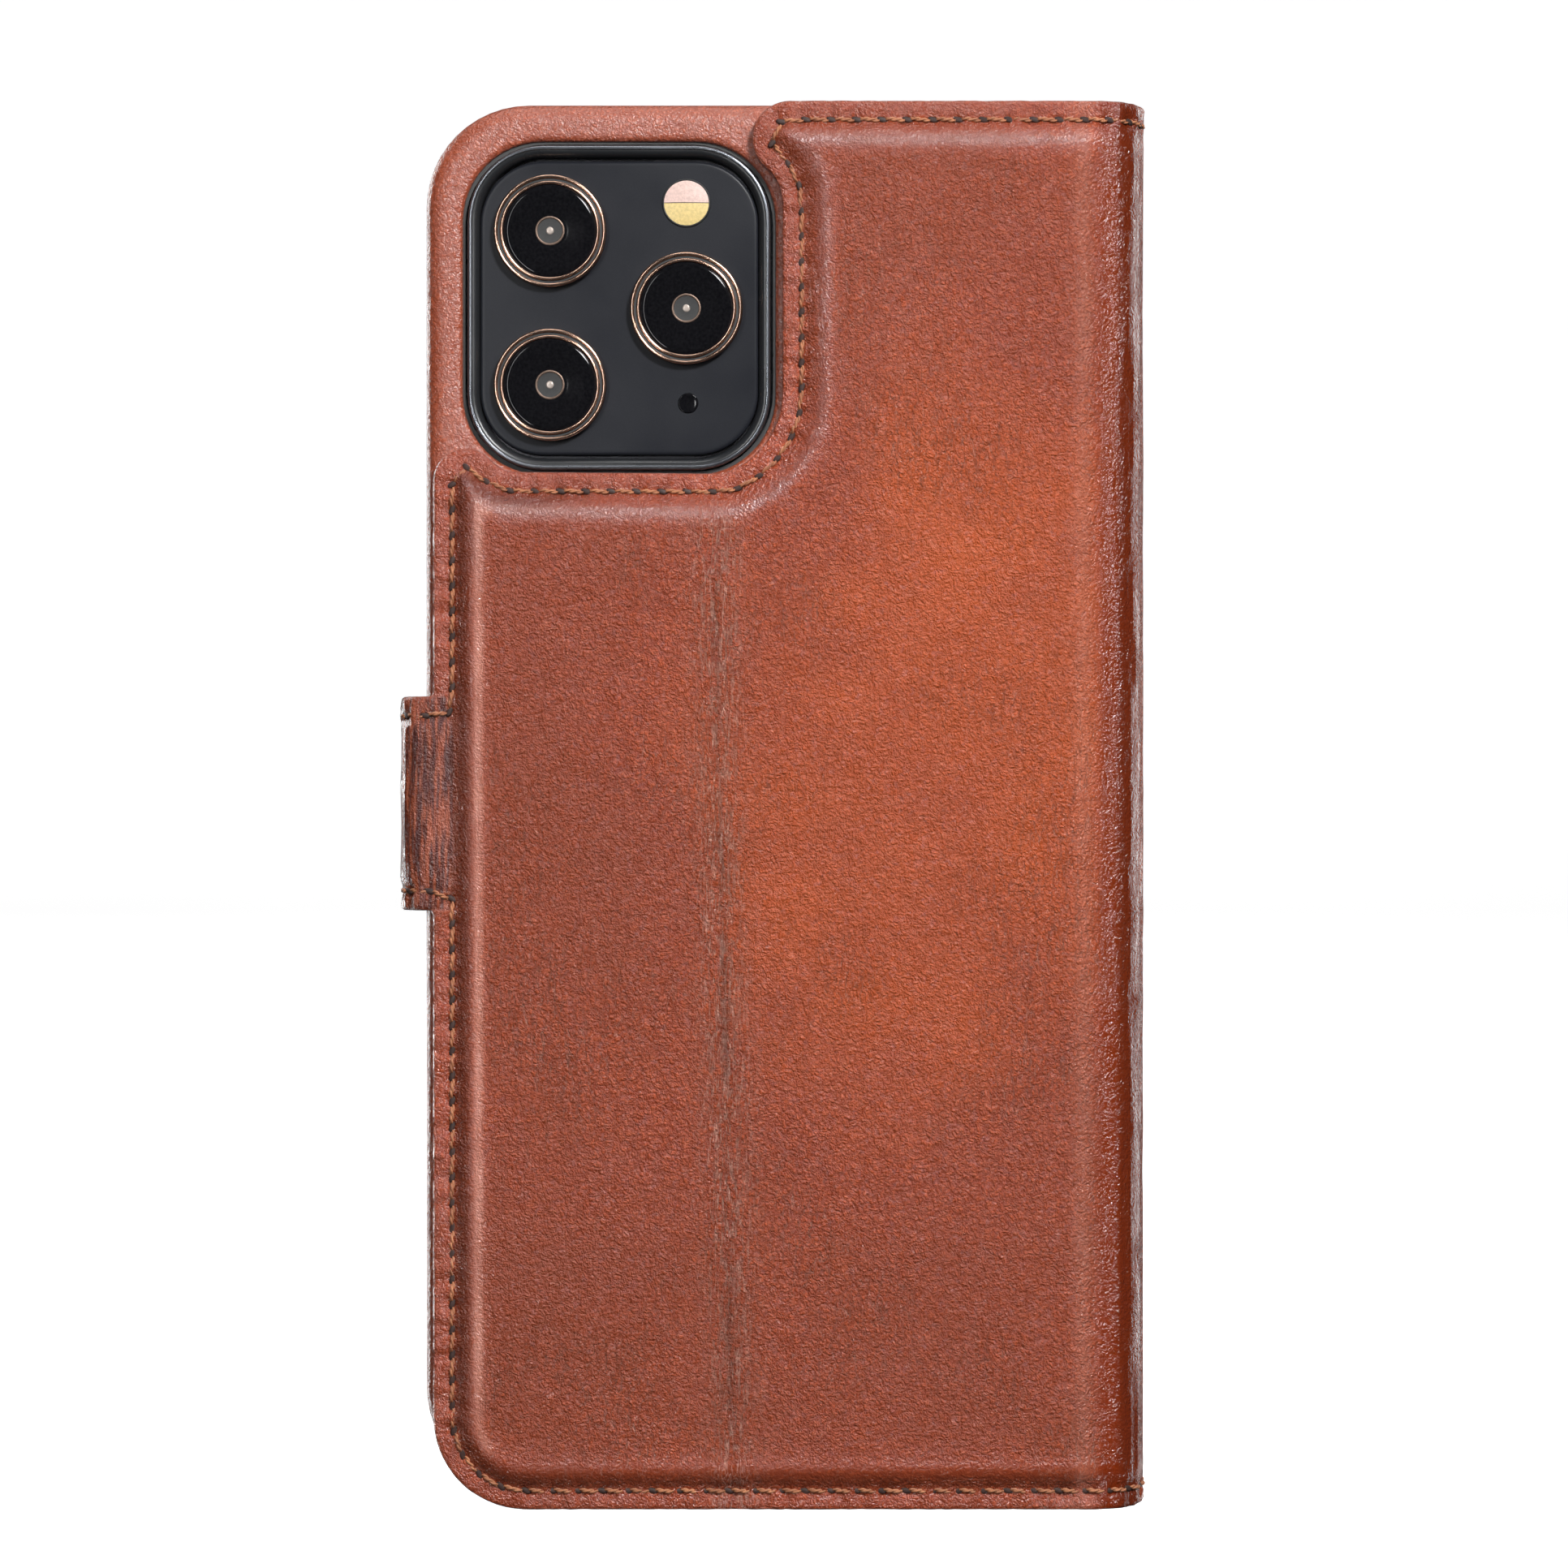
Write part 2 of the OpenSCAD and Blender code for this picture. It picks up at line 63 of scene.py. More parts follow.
STRAP_ARC = STRAP_R * math.pi / 2
TAB_Y = 10.6
U_S1 = -STRAP_X - STRAP_ARC
U_TAB = U_S1 - (TAB_Y + STRAP_Y)
TAB_LEN = 23.8
LEAN = math.radians(6)
SHEET_LOW = -88.5  # where the sheets' grids start, past the end of the tab
BACK_Y = 8.6  # from the middle of the closed case, used here, to the frame's zero
PITCH, STITCH = 3.0, 2.3  # of the stitches: their length, their distance from the edge
STEP, LINING_STEP = 0.5, 1.0  # of the leather's and the lining's grid
SHEET_T = 1.8  # from the outer face of the leather to the lining's inner face
CORNER = 11.0  # radius of the free corners
PHONE_X, PHONE = -1.95, (78.1, 160.8, 10.4)  # width, height, corner radius
HOLDER, HOLDER_Z = (81.9, 165.2, 12.3), 84.4
CAM_X, CAM_Z = -19.8, 142.6
WINDOW, BEZEL, PLATE = (37.2, 39.6, 9.5), (36.0, 38.6, 9.0), (33.1, 35.0, 7.5)
INSIDE_Y, POCKET_T = 7.4, 0.7  # the cover's inner face, one pocket leaf
PAD_START, PAD_BEVEL = 2.65, 2.9  # distance from the edge and width of the padding's bevel
PAD_RISE, PILLOW, PRESS = 1.38, 0.1, 0.36  # its height, its crown, its dip under the tab


# ---------------------------------------------------------------- noise
class Noise:
    """Smooth lattice noise, about -1 to 1, the same at every run."""

    def __init__(self, seed):
        self.table = np.random.RandomState(seed).uniform(-1, 1, (256, 256))

    def __call__(self, a, b):
        a, b = np.asarray(a, float) + 1000.0, np.asarray(b, float) + 1000.0
        i, j = np.floor(a).astype(int), np.floor(b).astype(int)
        fa, fb = a - i, b - j
        fa, fb = fa * fa * (3 - 2 * fa), fb * fb * (3 - 2 * fb)
        t = self.table
        i0, i1, j0, j1 = i % 256, (i + 1) % 256, j % 256, (j + 1) % 256
        low = t[i0, j0] * (1 - fa) + t[i1, j0] * fa
        high = t[i0, j1] * (1 - fa) + t[i1, j1] * fa
        return low * (1 - fb) + high * fb


n1, n2, n3, n4 = Noise(11), Noise(12), Noise(13), Noise(14)


def smooth(t):
    t = np.clip(t, 0, 1)
    return t * t * (3 - 2 * t)


# ---------------------------------------------------------------- outlines
def arc(cx, cz, r, a0, a1, n=14):
    a = np.radians(np.linspace(a0, a1, n + 1))
    return np.stack([cx + r * np.cos(a), cz + r * np.sin(a)], 1)


def strap_outline(e):
    """Strap and tab, from its lower root to its upper root."""
    lo, hi = STRAP_Z - STRAP_W / 2, STRAP_Z + STRAP_W / 2
    end, f, r = U_TAB - TAB_LEN, 0.6 + 0.3 * e, 8.0
    turn = e - LEFT - f
    return [
        arc(turn, lo + e - f, f, 0, 90, 6),
        arc(end + r, lo + r, r - e, 270, 180),
        arc(end + r, hi - r, r - e, 180, 90),
        arc(turn, hi - e + f, f, 270, 360, 6),
    ]


def folio_outline(e, strap=True):
    """The whole folio laid flat, seen from its outside: strap, back, spine, front."""
    parts = [arc(CORNER - LEFT, CORNER, CORNER - e, 270, 180)]
    if strap:
        parts += strap_outline(e)
    parts += [
        arc(-37.9, 121.9, max(3.9 - e, 0.05), 180, 40.5),
        arc(-31.84, 127.07, 4.07 + e, 220.5, 270),
        arc(-10.6, 132.5, 10.2 + e, -72, 0),
        arc(-5.98, CASE_H - 12.22, 5.58 + min(e, 4.2), 0, 50)[1:],
        arc(0.5, CASE_H - 4.5, 4.5 - min(e, 4.2), 230, 90),
        arc(U_END - CORNER, CASE_H - CORNER, CORNER - e, 90, 0),
        arc(U_END - CORNER, CORNER, CORNER - e, 360, 270),
    ]
    return np.concatenate(parts)


def closed_lengths(p):
    seg = np.linalg.norm(np.roll(p, -1, 0) - p, axis=1)
    return seg, np.concatenate([[0], np.cumsum(seg)])


def distance(points, path):
    """Distance from points to a closed path, its sign (inside is positive), the
    length along the path at the nearest point, and the direction to it."""
    a, b = path, np.roll(path, -1, 0)
    seg, run = closed_lengths(path)
    best = np.full(len(points), 1e9)
    along = np.zeros(len(points))
    near = np.zeros_like(points)
    inside = np.zeros(len(points), bool)
    for k in range(len(a)):
        d = b[k] - a[k]
        ll = max(d @ d, 1e-12)
        t = np.clip(((points - a[k]) @ d) / ll, 0, 1)
        q = a[k] + t[:, None] * d
        dist = np.hypot(points[:, 0] - q[:, 0], points[:, 1] - q[:, 1])
        closer = dist < best
        best[closer], along[closer] = dist[closer], run[k] + t[closer] * seg[k]
        near[closer] = q[closer]
        crosses = (a[k, 1] > points[:, 1]) != (b[k, 1] > points[:, 1])
        if crosses.any():
            x = a[k, 0] + (points[:, 1] - a[k, 1]) * d[0] / (d[1] if d[1] else 1e-12)
            inside ^= crosses & (points[:, 0] < x)
    return np.where(inside, best, -best), along, near


def spaced(path, step):
    """Points at an even spacing round a closed path."""
    _, run = closed_lengths(path)
    count = int(round(run[-1] / step))
    s = np.arange(count) * run[-1] / count
    loop = np.concatenate([path, path[:1]])
    return np.stack([np.interp(s, run, loop[:, 0]), np.interp(s, run, loop[:, 1])], 1)


# ---------------------------------------------------------------- folio surface
def place(u, z, h):
    """From the flat leather (u, z) and a height h above its outer face to the space
    that the closed case takes, in mm."""
    u, z, h = np.broadcast_arrays(np.asarray(u, float), z, h)
    x, y = np.empty(u.shape), np.empty(u.shape)
    nx, ny = np.zeros(u.shape), np.zeros(u.shape)

    def put(m, px, py, ax, ay):
        x[m], y[m], nx[m], ny[m] = px[m], py[m], ax[m], ay[m]

    one, zero = np.ones(u.shape), np.zeros(u.shape)
    put(u > -1e9, u, -MARGIN * one, zero, -one)
    a = -math.pi / 2 + (u - WRAP_X) / WRAP_R
    m = (u > WRAP_X) & (u <= U_SIDE)
    put(m, WRAP_X + WRAP_R * np.cos(a), -WRAP_Y + WRAP_R * np.sin(a), np.cos(a), np.sin(a))
    m = (u > U_SIDE) & (u <= U_SIDE2)
    put(m, SIDE_X * one, -WRAP_Y + u - U_SIDE, one, zero)
    a = (u - U_SIDE2) / WRAP_R
    m = (u > U_SIDE2) & (u <= U_FRONT)
    put(m, WRAP_X + WRAP_R * np.cos(a), WRAP_Y + WRAP_R * np.sin(a), np.cos(a), np.sin(a))
    m = u > U_FRONT
    put(m, WRAP_X - (u - U_FRONT), MARGIN * one, zero, one)
    a = -math.pi / 2 + (u + STRAP_X) / STRAP_R
    m = (u < -STRAP_X) & (u >= U_S1)
    put(m, -STRAP_X + STRAP_R * np.cos(a), -STRAP_Y + STRAP_R * np.sin(a), np.cos(a), np.sin(a))
    m = (u < U_S1) & (u >= U_TAB)
    put(m, -(STRAP_X + STRAP_R) * one, -STRAP_Y + (U_S1 - u), -one, zero)
    m = u < U_TAB
    t = U_TAB - u
    lean = LEAN * smooth(t / 3)
    put(m, -(STRAP_X + STRAP_R) + t * np.sin(lean), TAB_Y + t * np.cos(lean),
        -np.cos(lean), np.sin(lean))
    return np.stack([x + nx * h, y + ny * h, z], -1)


full, pads = folio_outline(0), folio_outline(0, False)
seam = folio_outline(STITCH)
HOLES = spaced(seam, PITCH)


def fold_line(z):
    return -8.45 + (119.5 - z) / 116.5 * 2.25


def relief(u, z, d, pad_d, along, off_seam):
    """Height of the outer leather above the stitched margin."""
    t = np.clip((pad_d - PAD_START) / PAD_BEVEL, 0, 1)
    rise = PAD_RISE * (1 - (1 - t) ** 2.0)
    pillow = PILLOW * (1 - np.exp(-np.clip(pad_d - 4, 0, None) / 9))
    padded = np.where((u > -LEFT) & (pad_d > 0), rise + pillow, 0)
    # no padding on the spine, and less of it where the tab lies on the cover
    flat = smooth((u - 34.2) / 4.2) * smooth((U_FRONT + 2.3 - u) / 4.2)
    padded = padded * (1 - flat)
    pressed = smooth((u - U_END + 29) / 6) * smooth((STRAP_W / 2 + 6 - np.abs(z - STRAP_Z)) / 4.5)
    padded = padded * (1 - PRESS * pressed)
    soft = 0.1 * n1(u / 13, z / 19) + 0.05 * n2(u / 4.1, z / 5.2)
    h = padded + soft * np.clip(padded, 0, 1)
    # the seam pulls the leather in at each needle hole, the margin is crinkled
    phase = np.cos(2 * math.pi * along / PITCH)
    groove = np.exp(-(off_seam / 0.55) ** 2) * (0.2 + 0.16 * phase)
    near = np.exp(-(off_seam / 1.5) ** 2)
    pucker = 0.11 * near * phase
    crinkle = 0.26 * n3(along / 0.95, d / 2.6) + 0.12 * n4(along / 0.5, d / 1.3)
    band = smooth((3.6 - d) / 1.4) * smooth(d / 0.3)
    h = h - groove - pucker + crinkle * band
    edge = np.clip(1 - d / 0.9, 0, 1)
    h = h - 0.22 * edge ** 2
    # wrinkles along the crease of the stand fold
    x0 = u - fold_line(z)
    live = smooth((123 - z) / 4) * (u > -30) * (u < 20)
    dip_and_painted_shade = -0.12 * np.exp(-(x0 / 0.6) ** 2) - 0.03 * np.exp(-((x0 - 1.9) / 0.6) ** 2)
    fold_noise = 1 - 2 * np.abs(n1(x0 / 0.95 + 0.35 * n4(u / 3, z / 6), z / 10.5))
    fine = 1 - 2 * np.abs(n2(x0 / 0.62, z / 5.5 + 40))
    ripple = (0.05 * fold_noise + 0.04 * fine) * np.exp(-(x0 / 2.6) ** 2)
    h = h + live * (dip_and_painted_shade * (0.75 + 0.5 * n3(u / 40, z / 12)) + ripple)
    # fine lines along the spine and across the strap
    wrap = smooth((u - 35.5) / 3) * smooth((U_FRONT + 1 - u) / 3)
    spine = 0.07 * (1 - 2 * np.abs(n3(u / 0.9, z / 13))) + 0.05 * n4(u / 0.5, z / 5)
    h = h + wrap * spine * smooth((d - 3) / 2)
    on_strap = smooth((-40.6 - u) / 1.4) * smooth((d - 2.9) / 1.1)
    bend = 1 - 0.75 * smooth((U_S1 - 5 - u) / 12)
    folds = 0.15 * (1 - 2 * np.abs(n2(u / 0.8, z / 9))) + 0.07 * n1(u / 0.45, z / 4)
    h = h + on_strap * (folds * bend + 0.1)
    return h


def grid_surface(sdf_of, low, high, step, inset):
    """Cells of a regular grid inside a shape, its border vertices moved to an even
    inset from the outline. Gives points, quads and the border loops' vertices."""
    nu, nz = int(round((high[0] - low[0]) / step)), int(round((high[1] - low[1]) / step))
    us, zs = low[0] + step * np.arange(nu + 1), low[1] + step * np.arange(nz + 1)
    uu, zz = np.meshgrid(us, zs, indexing="ij")
    pts = np.stack([uu.ravel(), zz.ravel()], 1)
    sdf, near = sdf_of(pts)
    ok = (sdf > inset + 0.12 * step).reshape(nu + 1, nz + 1)
    cell = ok[:-1, :-1] & ok[1:, :-1] & ok[1:, 1:] & ok[:-1, 1:]
    i, j = np.nonzero(cell)
    base = i * (nz + 1) + j
    quads = np.stack([base, base + nz + 1, base + nz + 2, base + 1], 1)
    used = np.unique(quads)
    index = np.full(len(pts), -1)
    index[used] = np.arange(len(used))
    pts, quads, sdf, near = pts[used], index[quads], sdf[used], near[used]
    edges = np.concatenate([quads[:, [0, 1]], quads[:, [1, 2]], quads[:, [2, 3]], quads[:, [3, 0]]])
    key = np.sort(edges, 1)
    order = np.lexsort((key[:, 1], key[:, 0]))
    key, edges = key[order], edges[order]
    same = (key[1:] == key[:-1]).all(1)
    single = np.ones(len(key), bool)
    single[1:] &= ~same
    single[:-1] &= ~same
    border = edges[single]
    at = np.unique(border)
    away = pts[at] - near[at]
    away /= np.maximum(np.linalg.norm(away, axis=1), 1e-9)[:, None]
    pts[at] = near[at] + away * inset
    return pts, quads, border, at, near, away


def mesh_object(name, verts, faces, material, attributes=None, flat=False):
    mesh = bpy.data.meshes.new(name)
    placed = (np.asarray(verts, float) + (0.0, BACK_Y, 0.0)) * 0.001
    mesh.from_pydata(placed.tolist(), [], [tuple(f) for f in faces])
    for key, values in (attributes or {}).items():
        values = np.asarray(values, np.float32)
        kind = "FLOAT_VECTOR" if values.ndim == 2 else "FLOAT"
        layer = mesh.attributes.new(key, kind, "POINT")
        layer.data.foreach_set("vector" if values.ndim == 2 else "value", values.ravel())
    mesh.shade_flat() if flat else mesh.shade_smooth()
    mesh.validate()
    obj = bpy.data.objects.new(name, mesh)
    bpy.context.scene.collection.objects.link(obj)
    mesh.materials.append(material)
    return obj


def belong(obj, body, slot, *nodes):
    """The body a piece rides and the CAD nodes it stands for, which are hidden; slot is not used."""
    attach(obj, body)
    if nodes:
        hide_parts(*nodes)


# ---------------------------------------------------------------- materials
class Nodes:
    """Shorthand for a material's node tree."""

    def __init__(self, name):
        self.mat = bpy.data.materials.new(name)
        self.mat.use_nodes = True
        self.tree = self.mat.node_tree
        self.bsdf = self.tree.nodes["Principled BSDF"]

    def add(self, kind, inputs=None, **settings):
        n = self.tree.nodes.new(kind)
        for k, v in settings.items():
            setattr(n, k, v)
        for k, v in (inputs or {}).items():
            if isinstance(v, bpy.types.NodeSocket):
                self.tree.links.new(v, n.inputs[k])
            else:
                n.inputs[k].default_value = v
        return n

    def link(self, out, socket):
        self.tree.links.new(out, self.bsdf.inputs[socket])

    def field(self, name):
        return self.add("ShaderNodeAttribute", attribute_name=name).outputs["Fac"]

    def rest(self, scale=(1, 1, 1)):
        source = self.add("ShaderNodeAttribute", attribute_name="rest").outputs["Vector"]
        return self.add("ShaderNodeMapping", {"Vector": source, "Scale": scale}).outputs[0]

    def object(self, scale=1000.0):
        source = self.add("ShaderNodeTexCoord").outputs["Object"]
        return self.add("ShaderNodeMapping", {"Vector": source, "Scale": (scale,) * 3}).outputs[0]

    def noise(self, vec, scale, detail=2.0, rough=0.5, distortion=0.0):
        return self.add("ShaderNodeTexNoise", {"Vector": vec, "Scale": scale, "Detail": detail,
                        "Roughness": rough, "Distortion": distortion}).outputs["Fac"]

    def math(self, op, a, b=0.0, clamp=False):
        return self.add("ShaderNodeMath", {0: a, 1: b}, operation=op, use_clamp=clamp).outputs[0]

    def ramp(self, fac, stops):
        n = self.add("ShaderNodeValToRGB", {"Fac": fac})
        el = n.color_ramp.elements
        while len(el) < len(stops):
            el.new(0.5)
        for e, (p, c) in zip(el, stops):
            e.position, e.color = p, (*c, 1)
        return n.outputs["Color"]

    def span(self, fac, a, b, lo, hi):
        return self.add("ShaderNodeMapRange", {"Value": fac, "From Min": a, "From Max": b,
                        "To Min": lo, "To Max": hi}).outputs[0]

    def mix(self, fac, a, b, blend="MIX"):
        n = self.add("ShaderNodeMix", data_type="RGBA", blend_type=blend)
        for s, v in ((0, fac), (6, a), (7, b)):
            if isinstance(v, bpy.types.NodeSocket):
                self.tree.links.new(v, n.inputs[s])
            else:
                n.inputs[s].default_value = v if s == 0 else (*v, 1)
        return n.outputs[2]

    def bump(self, height, strength, distance):
        n = self.add("ShaderNodeBump", {"Height": height, "Strength": strength,
                     "Distance": distance})
        self.link(n.outputs[0], "Normal")


def leather(name, dark, mid, light, cut, wrinkles=1.0, rough=0.21, grain_depth=0.0005):
    """Waxed leather. The mesh fields say where it is cut, wrinkled, mottled and pulled tight,
    and where painted shade, painted highlight and painted light go: a dark spine band and top
    bevel, dark bevels, crease and strap root, pale ridges, dark and orange stripes on the
    strap's folds, and a lighter middle right."""
    m = Nodes(name)
    v = m.rest()
    warp = m.add("ShaderNodeVectorMath", {0: v, 1: m.add("ShaderNodeTexNoise", {
        "Vector": v, "Scale": 0.7, "Detail": 2.0}).outputs["Color"]}, operation="ADD").outputs[0]
    pebble = m.add("ShaderNodeTexVoronoi", {"Vector": warp, "Scale": 2.5, "Smoothness": 0.7,
                   "Randomness": 1.0}, feature="SMOOTH_F1").outputs["Distance"]
    small = m.add("ShaderNodeTexVoronoi", {"Vector": warp, "Scale": 4.8, "Smoothness": 0.5},
                  feature="SMOOTH_F1").outputs["Distance"]
    fine = m.noise(v, 7.0, 3.0, 0.6)
    vein = m.noise(m.rest((1.15, 0.22, 1)), 0.9, 3.0, 0.55, 0.5)
    thin = m.math("ABSOLUTE", m.math("SUBTRACT", vein, 0.5))
    line = m.span(thin, 0.0, 0.014, 1.0, 0.0)
    spread = m.span(m.noise(m.rest(), 0.045, 2.0), 0.48, 0.62, 0.0, 1.0)
    line = m.math("MULTIPLY", line, spread, True)
    cloud = m.noise(v, 0.055, 3.0, 0.6)
    blotch = m.noise(v, 0.9, 4.0, 0.7)
    tone = m.math("ADD", m.math("MULTIPLY", cloud, 0.25), m.math("MULTIPLY", blotch, 0.75))
    color = m.ramp(tone, [(0.25, dark), (0.5, mid), (0.75, light)])
    grain = m.span(m.noise(v, 2.4, 4.0, 0.75), 0.36, 0.66, 0.0, 1.0)
    color = m.mix(m.math("MULTIPLY", grain, 0.22), color, light)
    pit = m.span(pebble, 0.2, 0.5, 0.0, 0.8)
    color = m.mix(pit, color, dark)
    pale = (0.72, 0.4, 0.31)
    color = m.mix(m.math("MULTIPLY", line, 0.55 * wrinkles), color, pale)
    crease = m.field("crease")
    marks = m.noise(m.rest((1.6, 0.16, 1)), 1.5, 3.0, 0.6, 0.4)
    marks = m.span(m.math("ABSOLUTE", m.math("SUBTRACT", marks, 0.5)), 0.0, 0.042, 1.0, 0.0)
    marks = m.math("MULTIPLY", marks, crease, True)
    color = m.mix(marks, color, pale)
    # painted light: lighter and more saturated at the middle right, darker at the left, the top and
    # the lower right, with random mottle
    mottle_and_painted_light = m.field("mottle_and_painted_light")
    color = m.mix(m.math("MULTIPLY", mottle_and_painted_light, 0.45, True), color, (0.56, 0.1, 0.018))
    color = m.mix(m.math("MULTIPLY", mottle_and_painted_light, -0.6, True), color, (0.24, 0.045, 0.017))
    # painted shade: the spine band turned away from the light, and the top bevel, mixed toward a deep
    # dark orange
    painted_shade_band = m.field("painted_shade_band")
    color = m.mix(painted_shade_band, color, (0.19, 0.021, 0.001))
    # painted shade: darker on bevels facing away from the light, in the crease dent, at the strap
    # root and on the spine
    dip_and_painted_shade = m.field("dip_and_painted_shade")
    color = m.mix(dip_and_painted_shade, color, tuple(c * 0.25 for c in dark))
    edge = m.field("edge")
    color = m.mix(edge, color, cut)
    r = m.span(m.noise(v, 1.1, 3.0), 0.3, 0.7, rough - 0.07, rough + 0.1)
    tight = m.field("tight")
    # painted shade and light of the strap's folds: stripes from near black to orange
    painted_fold_shade = m.field("painted_fold_shade")
    stripe = m.span(m.noise(m.rest((1.9, 0.13, 1)), 1.0, 3.0, 0.6, 0.3), 0.4, 0.6, 0.0, 1.0)
    stripes = m.ramp(stripe, [(0.1, (0.07, 0.012, 0.006)), (0.5, (0.15, 0.028, 0.012)),
                              (0.9, (0.34, 0.075, 0.03))])
    color = m.mix(m.math("MULTIPLY", painted_fold_shade, 0.85), color, stripes)
    # painted highlight: pale on the left bevel's ridge and along the spine
    painted_highlight = m.field("painted_highlight")
    color = m.mix(m.math("MULTIPLY", painted_highlight, 0.6), color, (0.66, 0.3, 0.22))
    m.link(color, "Base Color")
    m.link(m.math("SUBTRACT", r, m.math("MULTIPLY", tight, 0.05)), "Roughness")
    m.bsdf.inputs["Specular IOR Level"].default_value = 0.75
    height = m.math("MULTIPLY", pebble, -0.55)
    height = m.math("SUBTRACT", height, m.math("MULTIPLY", small, 0.35))
    height = m.math("ADD", height, m.math("MULTIPLY", fine, 0.3))
    height = m.math("SUBTRACT", height, m.math("MULTIPLY", line, 0.35 * wrinkles))
    height = m.math("SUBTRACT", height, m.math("MULTIPLY", marks, 0.3))
    waves = m.noise(m.rest((0.45, 0.3, 1)), 1.0, 3.0, 0.55, 0.6)
    height = m.math("ADD", height, m.math("MULTIPLY", waves, 0.7))
    m.bump(height, m.span(tight, 0.0, 1.0, 1.0, 0.35), grain_depth)
    return m.mat


def plain(name, color, rough, metallic=0.0, grain=0.0, scale=3.0, vary=0.12, bump=0.00002,
          stretch=(1, 1, 1), coat=0.0, spec=0.5):
    """Worked material for metal, glass, plastic and card: fine grain and smudges."""
    m = Nodes(name)
    v = m.object()
    v = m.add("ShaderNodeMapping", {"Vector": v, "Scale": stretch}).outputs[0]
    n = m.noise(v, scale, 4.0, 0.6)
    smudge = m.noise(v, 0.07, 3.0, 0.6)
    lo = tuple(c * (1 - vary) for c in color)
    hi = tuple(min(1.0, c * (1 + vary) + vary * 0.01) for c in color)
    m.link(m.mix(m.span(n, 0.35, 0.65, 0, 1), lo, hi), "Base Color")
    m.link(m.span(smudge, 0.3, 0.7, max(0.02, rough * 0.8), rough * 1.2 + 0.02), "Roughness")
    m.bsdf.inputs["Metallic"].default_value = metallic
    m.bsdf.inputs["Coat Weight"].default_value = coat
    m.bsdf.inputs["Specular IOR Level"].default_value = spec
    if grain:
        m.bump(n, grain, bump)
    return m.mat


def suede(name, dark, light):
    m = Nodes(name)
    v = m.rest()
    nap = m.noise(v, 3.2, 5.0, 0.75)
    brush = m.noise(m.rest(), 0.09, 3.0, 0.6)
    tone = m.math("ADD", m.math("MULTIPLY", nap, 0.7), m.math("MULTIPLY", brush, 0.3))
    m.link(m.ramp(tone, [(0.36, dark), (0.64, light)]), "Base Color")
    m.link(m.span(nap, 0.3, 0.7, 0.82, 0.98), "Roughness")
    m.bsdf.inputs["Sheen Weight"].default_value = 0.5
    m.bsdf.inputs["Sheen Roughness"].default_value = 0.4
    m.bump(nap, 0.6, 0.00012)
    return m.mat


def yarn(name, dark, light):
    m = Nodes(name)
    v = m.object()
    fibre = m.noise(v, 9.0, 3.0, 0.6)
    tone = m.noise(v, 0.5, 2.0)
    mixv = m.math("ADD", m.math("MULTIPLY", fibre, 0.6), m.math("MULTIPLY", tone, 0.4))
    m.link(m.ramp(mixv, [(0.35, dark), (0.65, light)]), "Base Color")
    m.link(m.span(fibre, 0.3, 0.7, 0.5, 0.75), "Roughness")
    m.bump(fibre, 0.5, 0.00005)
    return m.mat


# dark, middle and light tone of the leathers, and the colour of a cut edge
TAN = ((0.22, 0.034, 0.012), (0.4, 0.072, 0.024), (0.54, 0.11, 0.04))
SHELL_TAN = ((0.22, 0.042, 0.017), (0.36, 0.082, 0.038), (0.47, 0.12, 0.06))
CUT = (0.2, 0.1, 0.085)
skin = leather("tan_leather", *TAN, CUT)
shell_skin = leather("shell_leather_skin", *SHELL_TAN, CUT, 0.25, 0.28, 0.00016)
pocket_skin = leather("pocket_leather_skin", *TAN, CUT, 0.3, 0.34, 0.0002)
lining_mat = suede("suede_lining", (0.09, 0.045, 0.026), (0.17, 0.09, 0.055))
thread_mat = yarn("waxed_thread", (0.19, 0.06, 0.026), (0.5, 0.2, 0.09))
# near black: painted shade inside the needle holes
hole_shade_mat = plain("needle_hole_shade", (0.03, 0.01, 0.006), 0.7, vary=0.4)
black_shell = plain("shell_plastic", (0.02, 0.019, 0.019), 0.5, grain=0.3, scale=6.0)
bezel_mat = plain("bezel_dark", (0.014, 0.015, 0.017), 0.3, grain=0.15, scale=9.0)
rim_mat = plain("bezel_rim", (0.17, 0.18, 0.2), 0.25, 0.9, 0.1, 5.0)
plate_mat = plain("camera_plate_glass", (0.012, 0.013, 0.017), 0.34, grain=0.25, scale=14.0,
                  bump=0.000006, spec=0.2)
bronze = plain("bronze_ring", (0.5, 0.33, 0.25), 0.2, 1.0, 0.15, 8.0, 0.15)
black_glass = plain("lens_glass", (0.004, 0.004, 0.005), 0.07, vary=0.2, spec=0.12)
black_matte = plain("lens_barrel", (0.006, 0.006, 0.006), 0.45, vary=0.2)
iris_mat = plain("lens_iris_ring", (0.16, 0.11, 0.085), 0.4, 0.8, vary=0.2)
# painted glint: a pale disc at the centre of each lens
glint = plain("lens_centre_painted_glint", (0.4, 0.34, 0.3), 0.3, 0.3, vary=0.1)
flash_pink = plain("flash_cool", (0.6, 0.42, 0.37), 0.35, grain=0.6, scale=3.0, bump=0.00008)
flash_gold = plain("flash_warm", (0.62, 0.47, 0.19), 0.35, grain=0.6, scale=3.0, bump=0.00008)
phone_band = plain("phone_band", (0.1, 0.1, 0.11), 0.3, 0.9, 0.2, 5.0, stretch=(1, 1, 8))
screen_mat = plain("screen_glass", (0.004, 0.004, 0.006), 0.06, vary=0.2, coat=0.5)
screen_edge = plain("screen_border", (0.001, 0.001, 0.0012), 0.1, vary=0.3)
foam_mat = plain("padding_foam", (0.66, 0.62, 0.53), 0.95, grain=0.9, scale=2.2, bump=0.0002)
board_mat = plain("fibre_board", (0.2, 0.15, 0.11), 0.9, grain=0.7, scale=1.4, bump=0.0001)
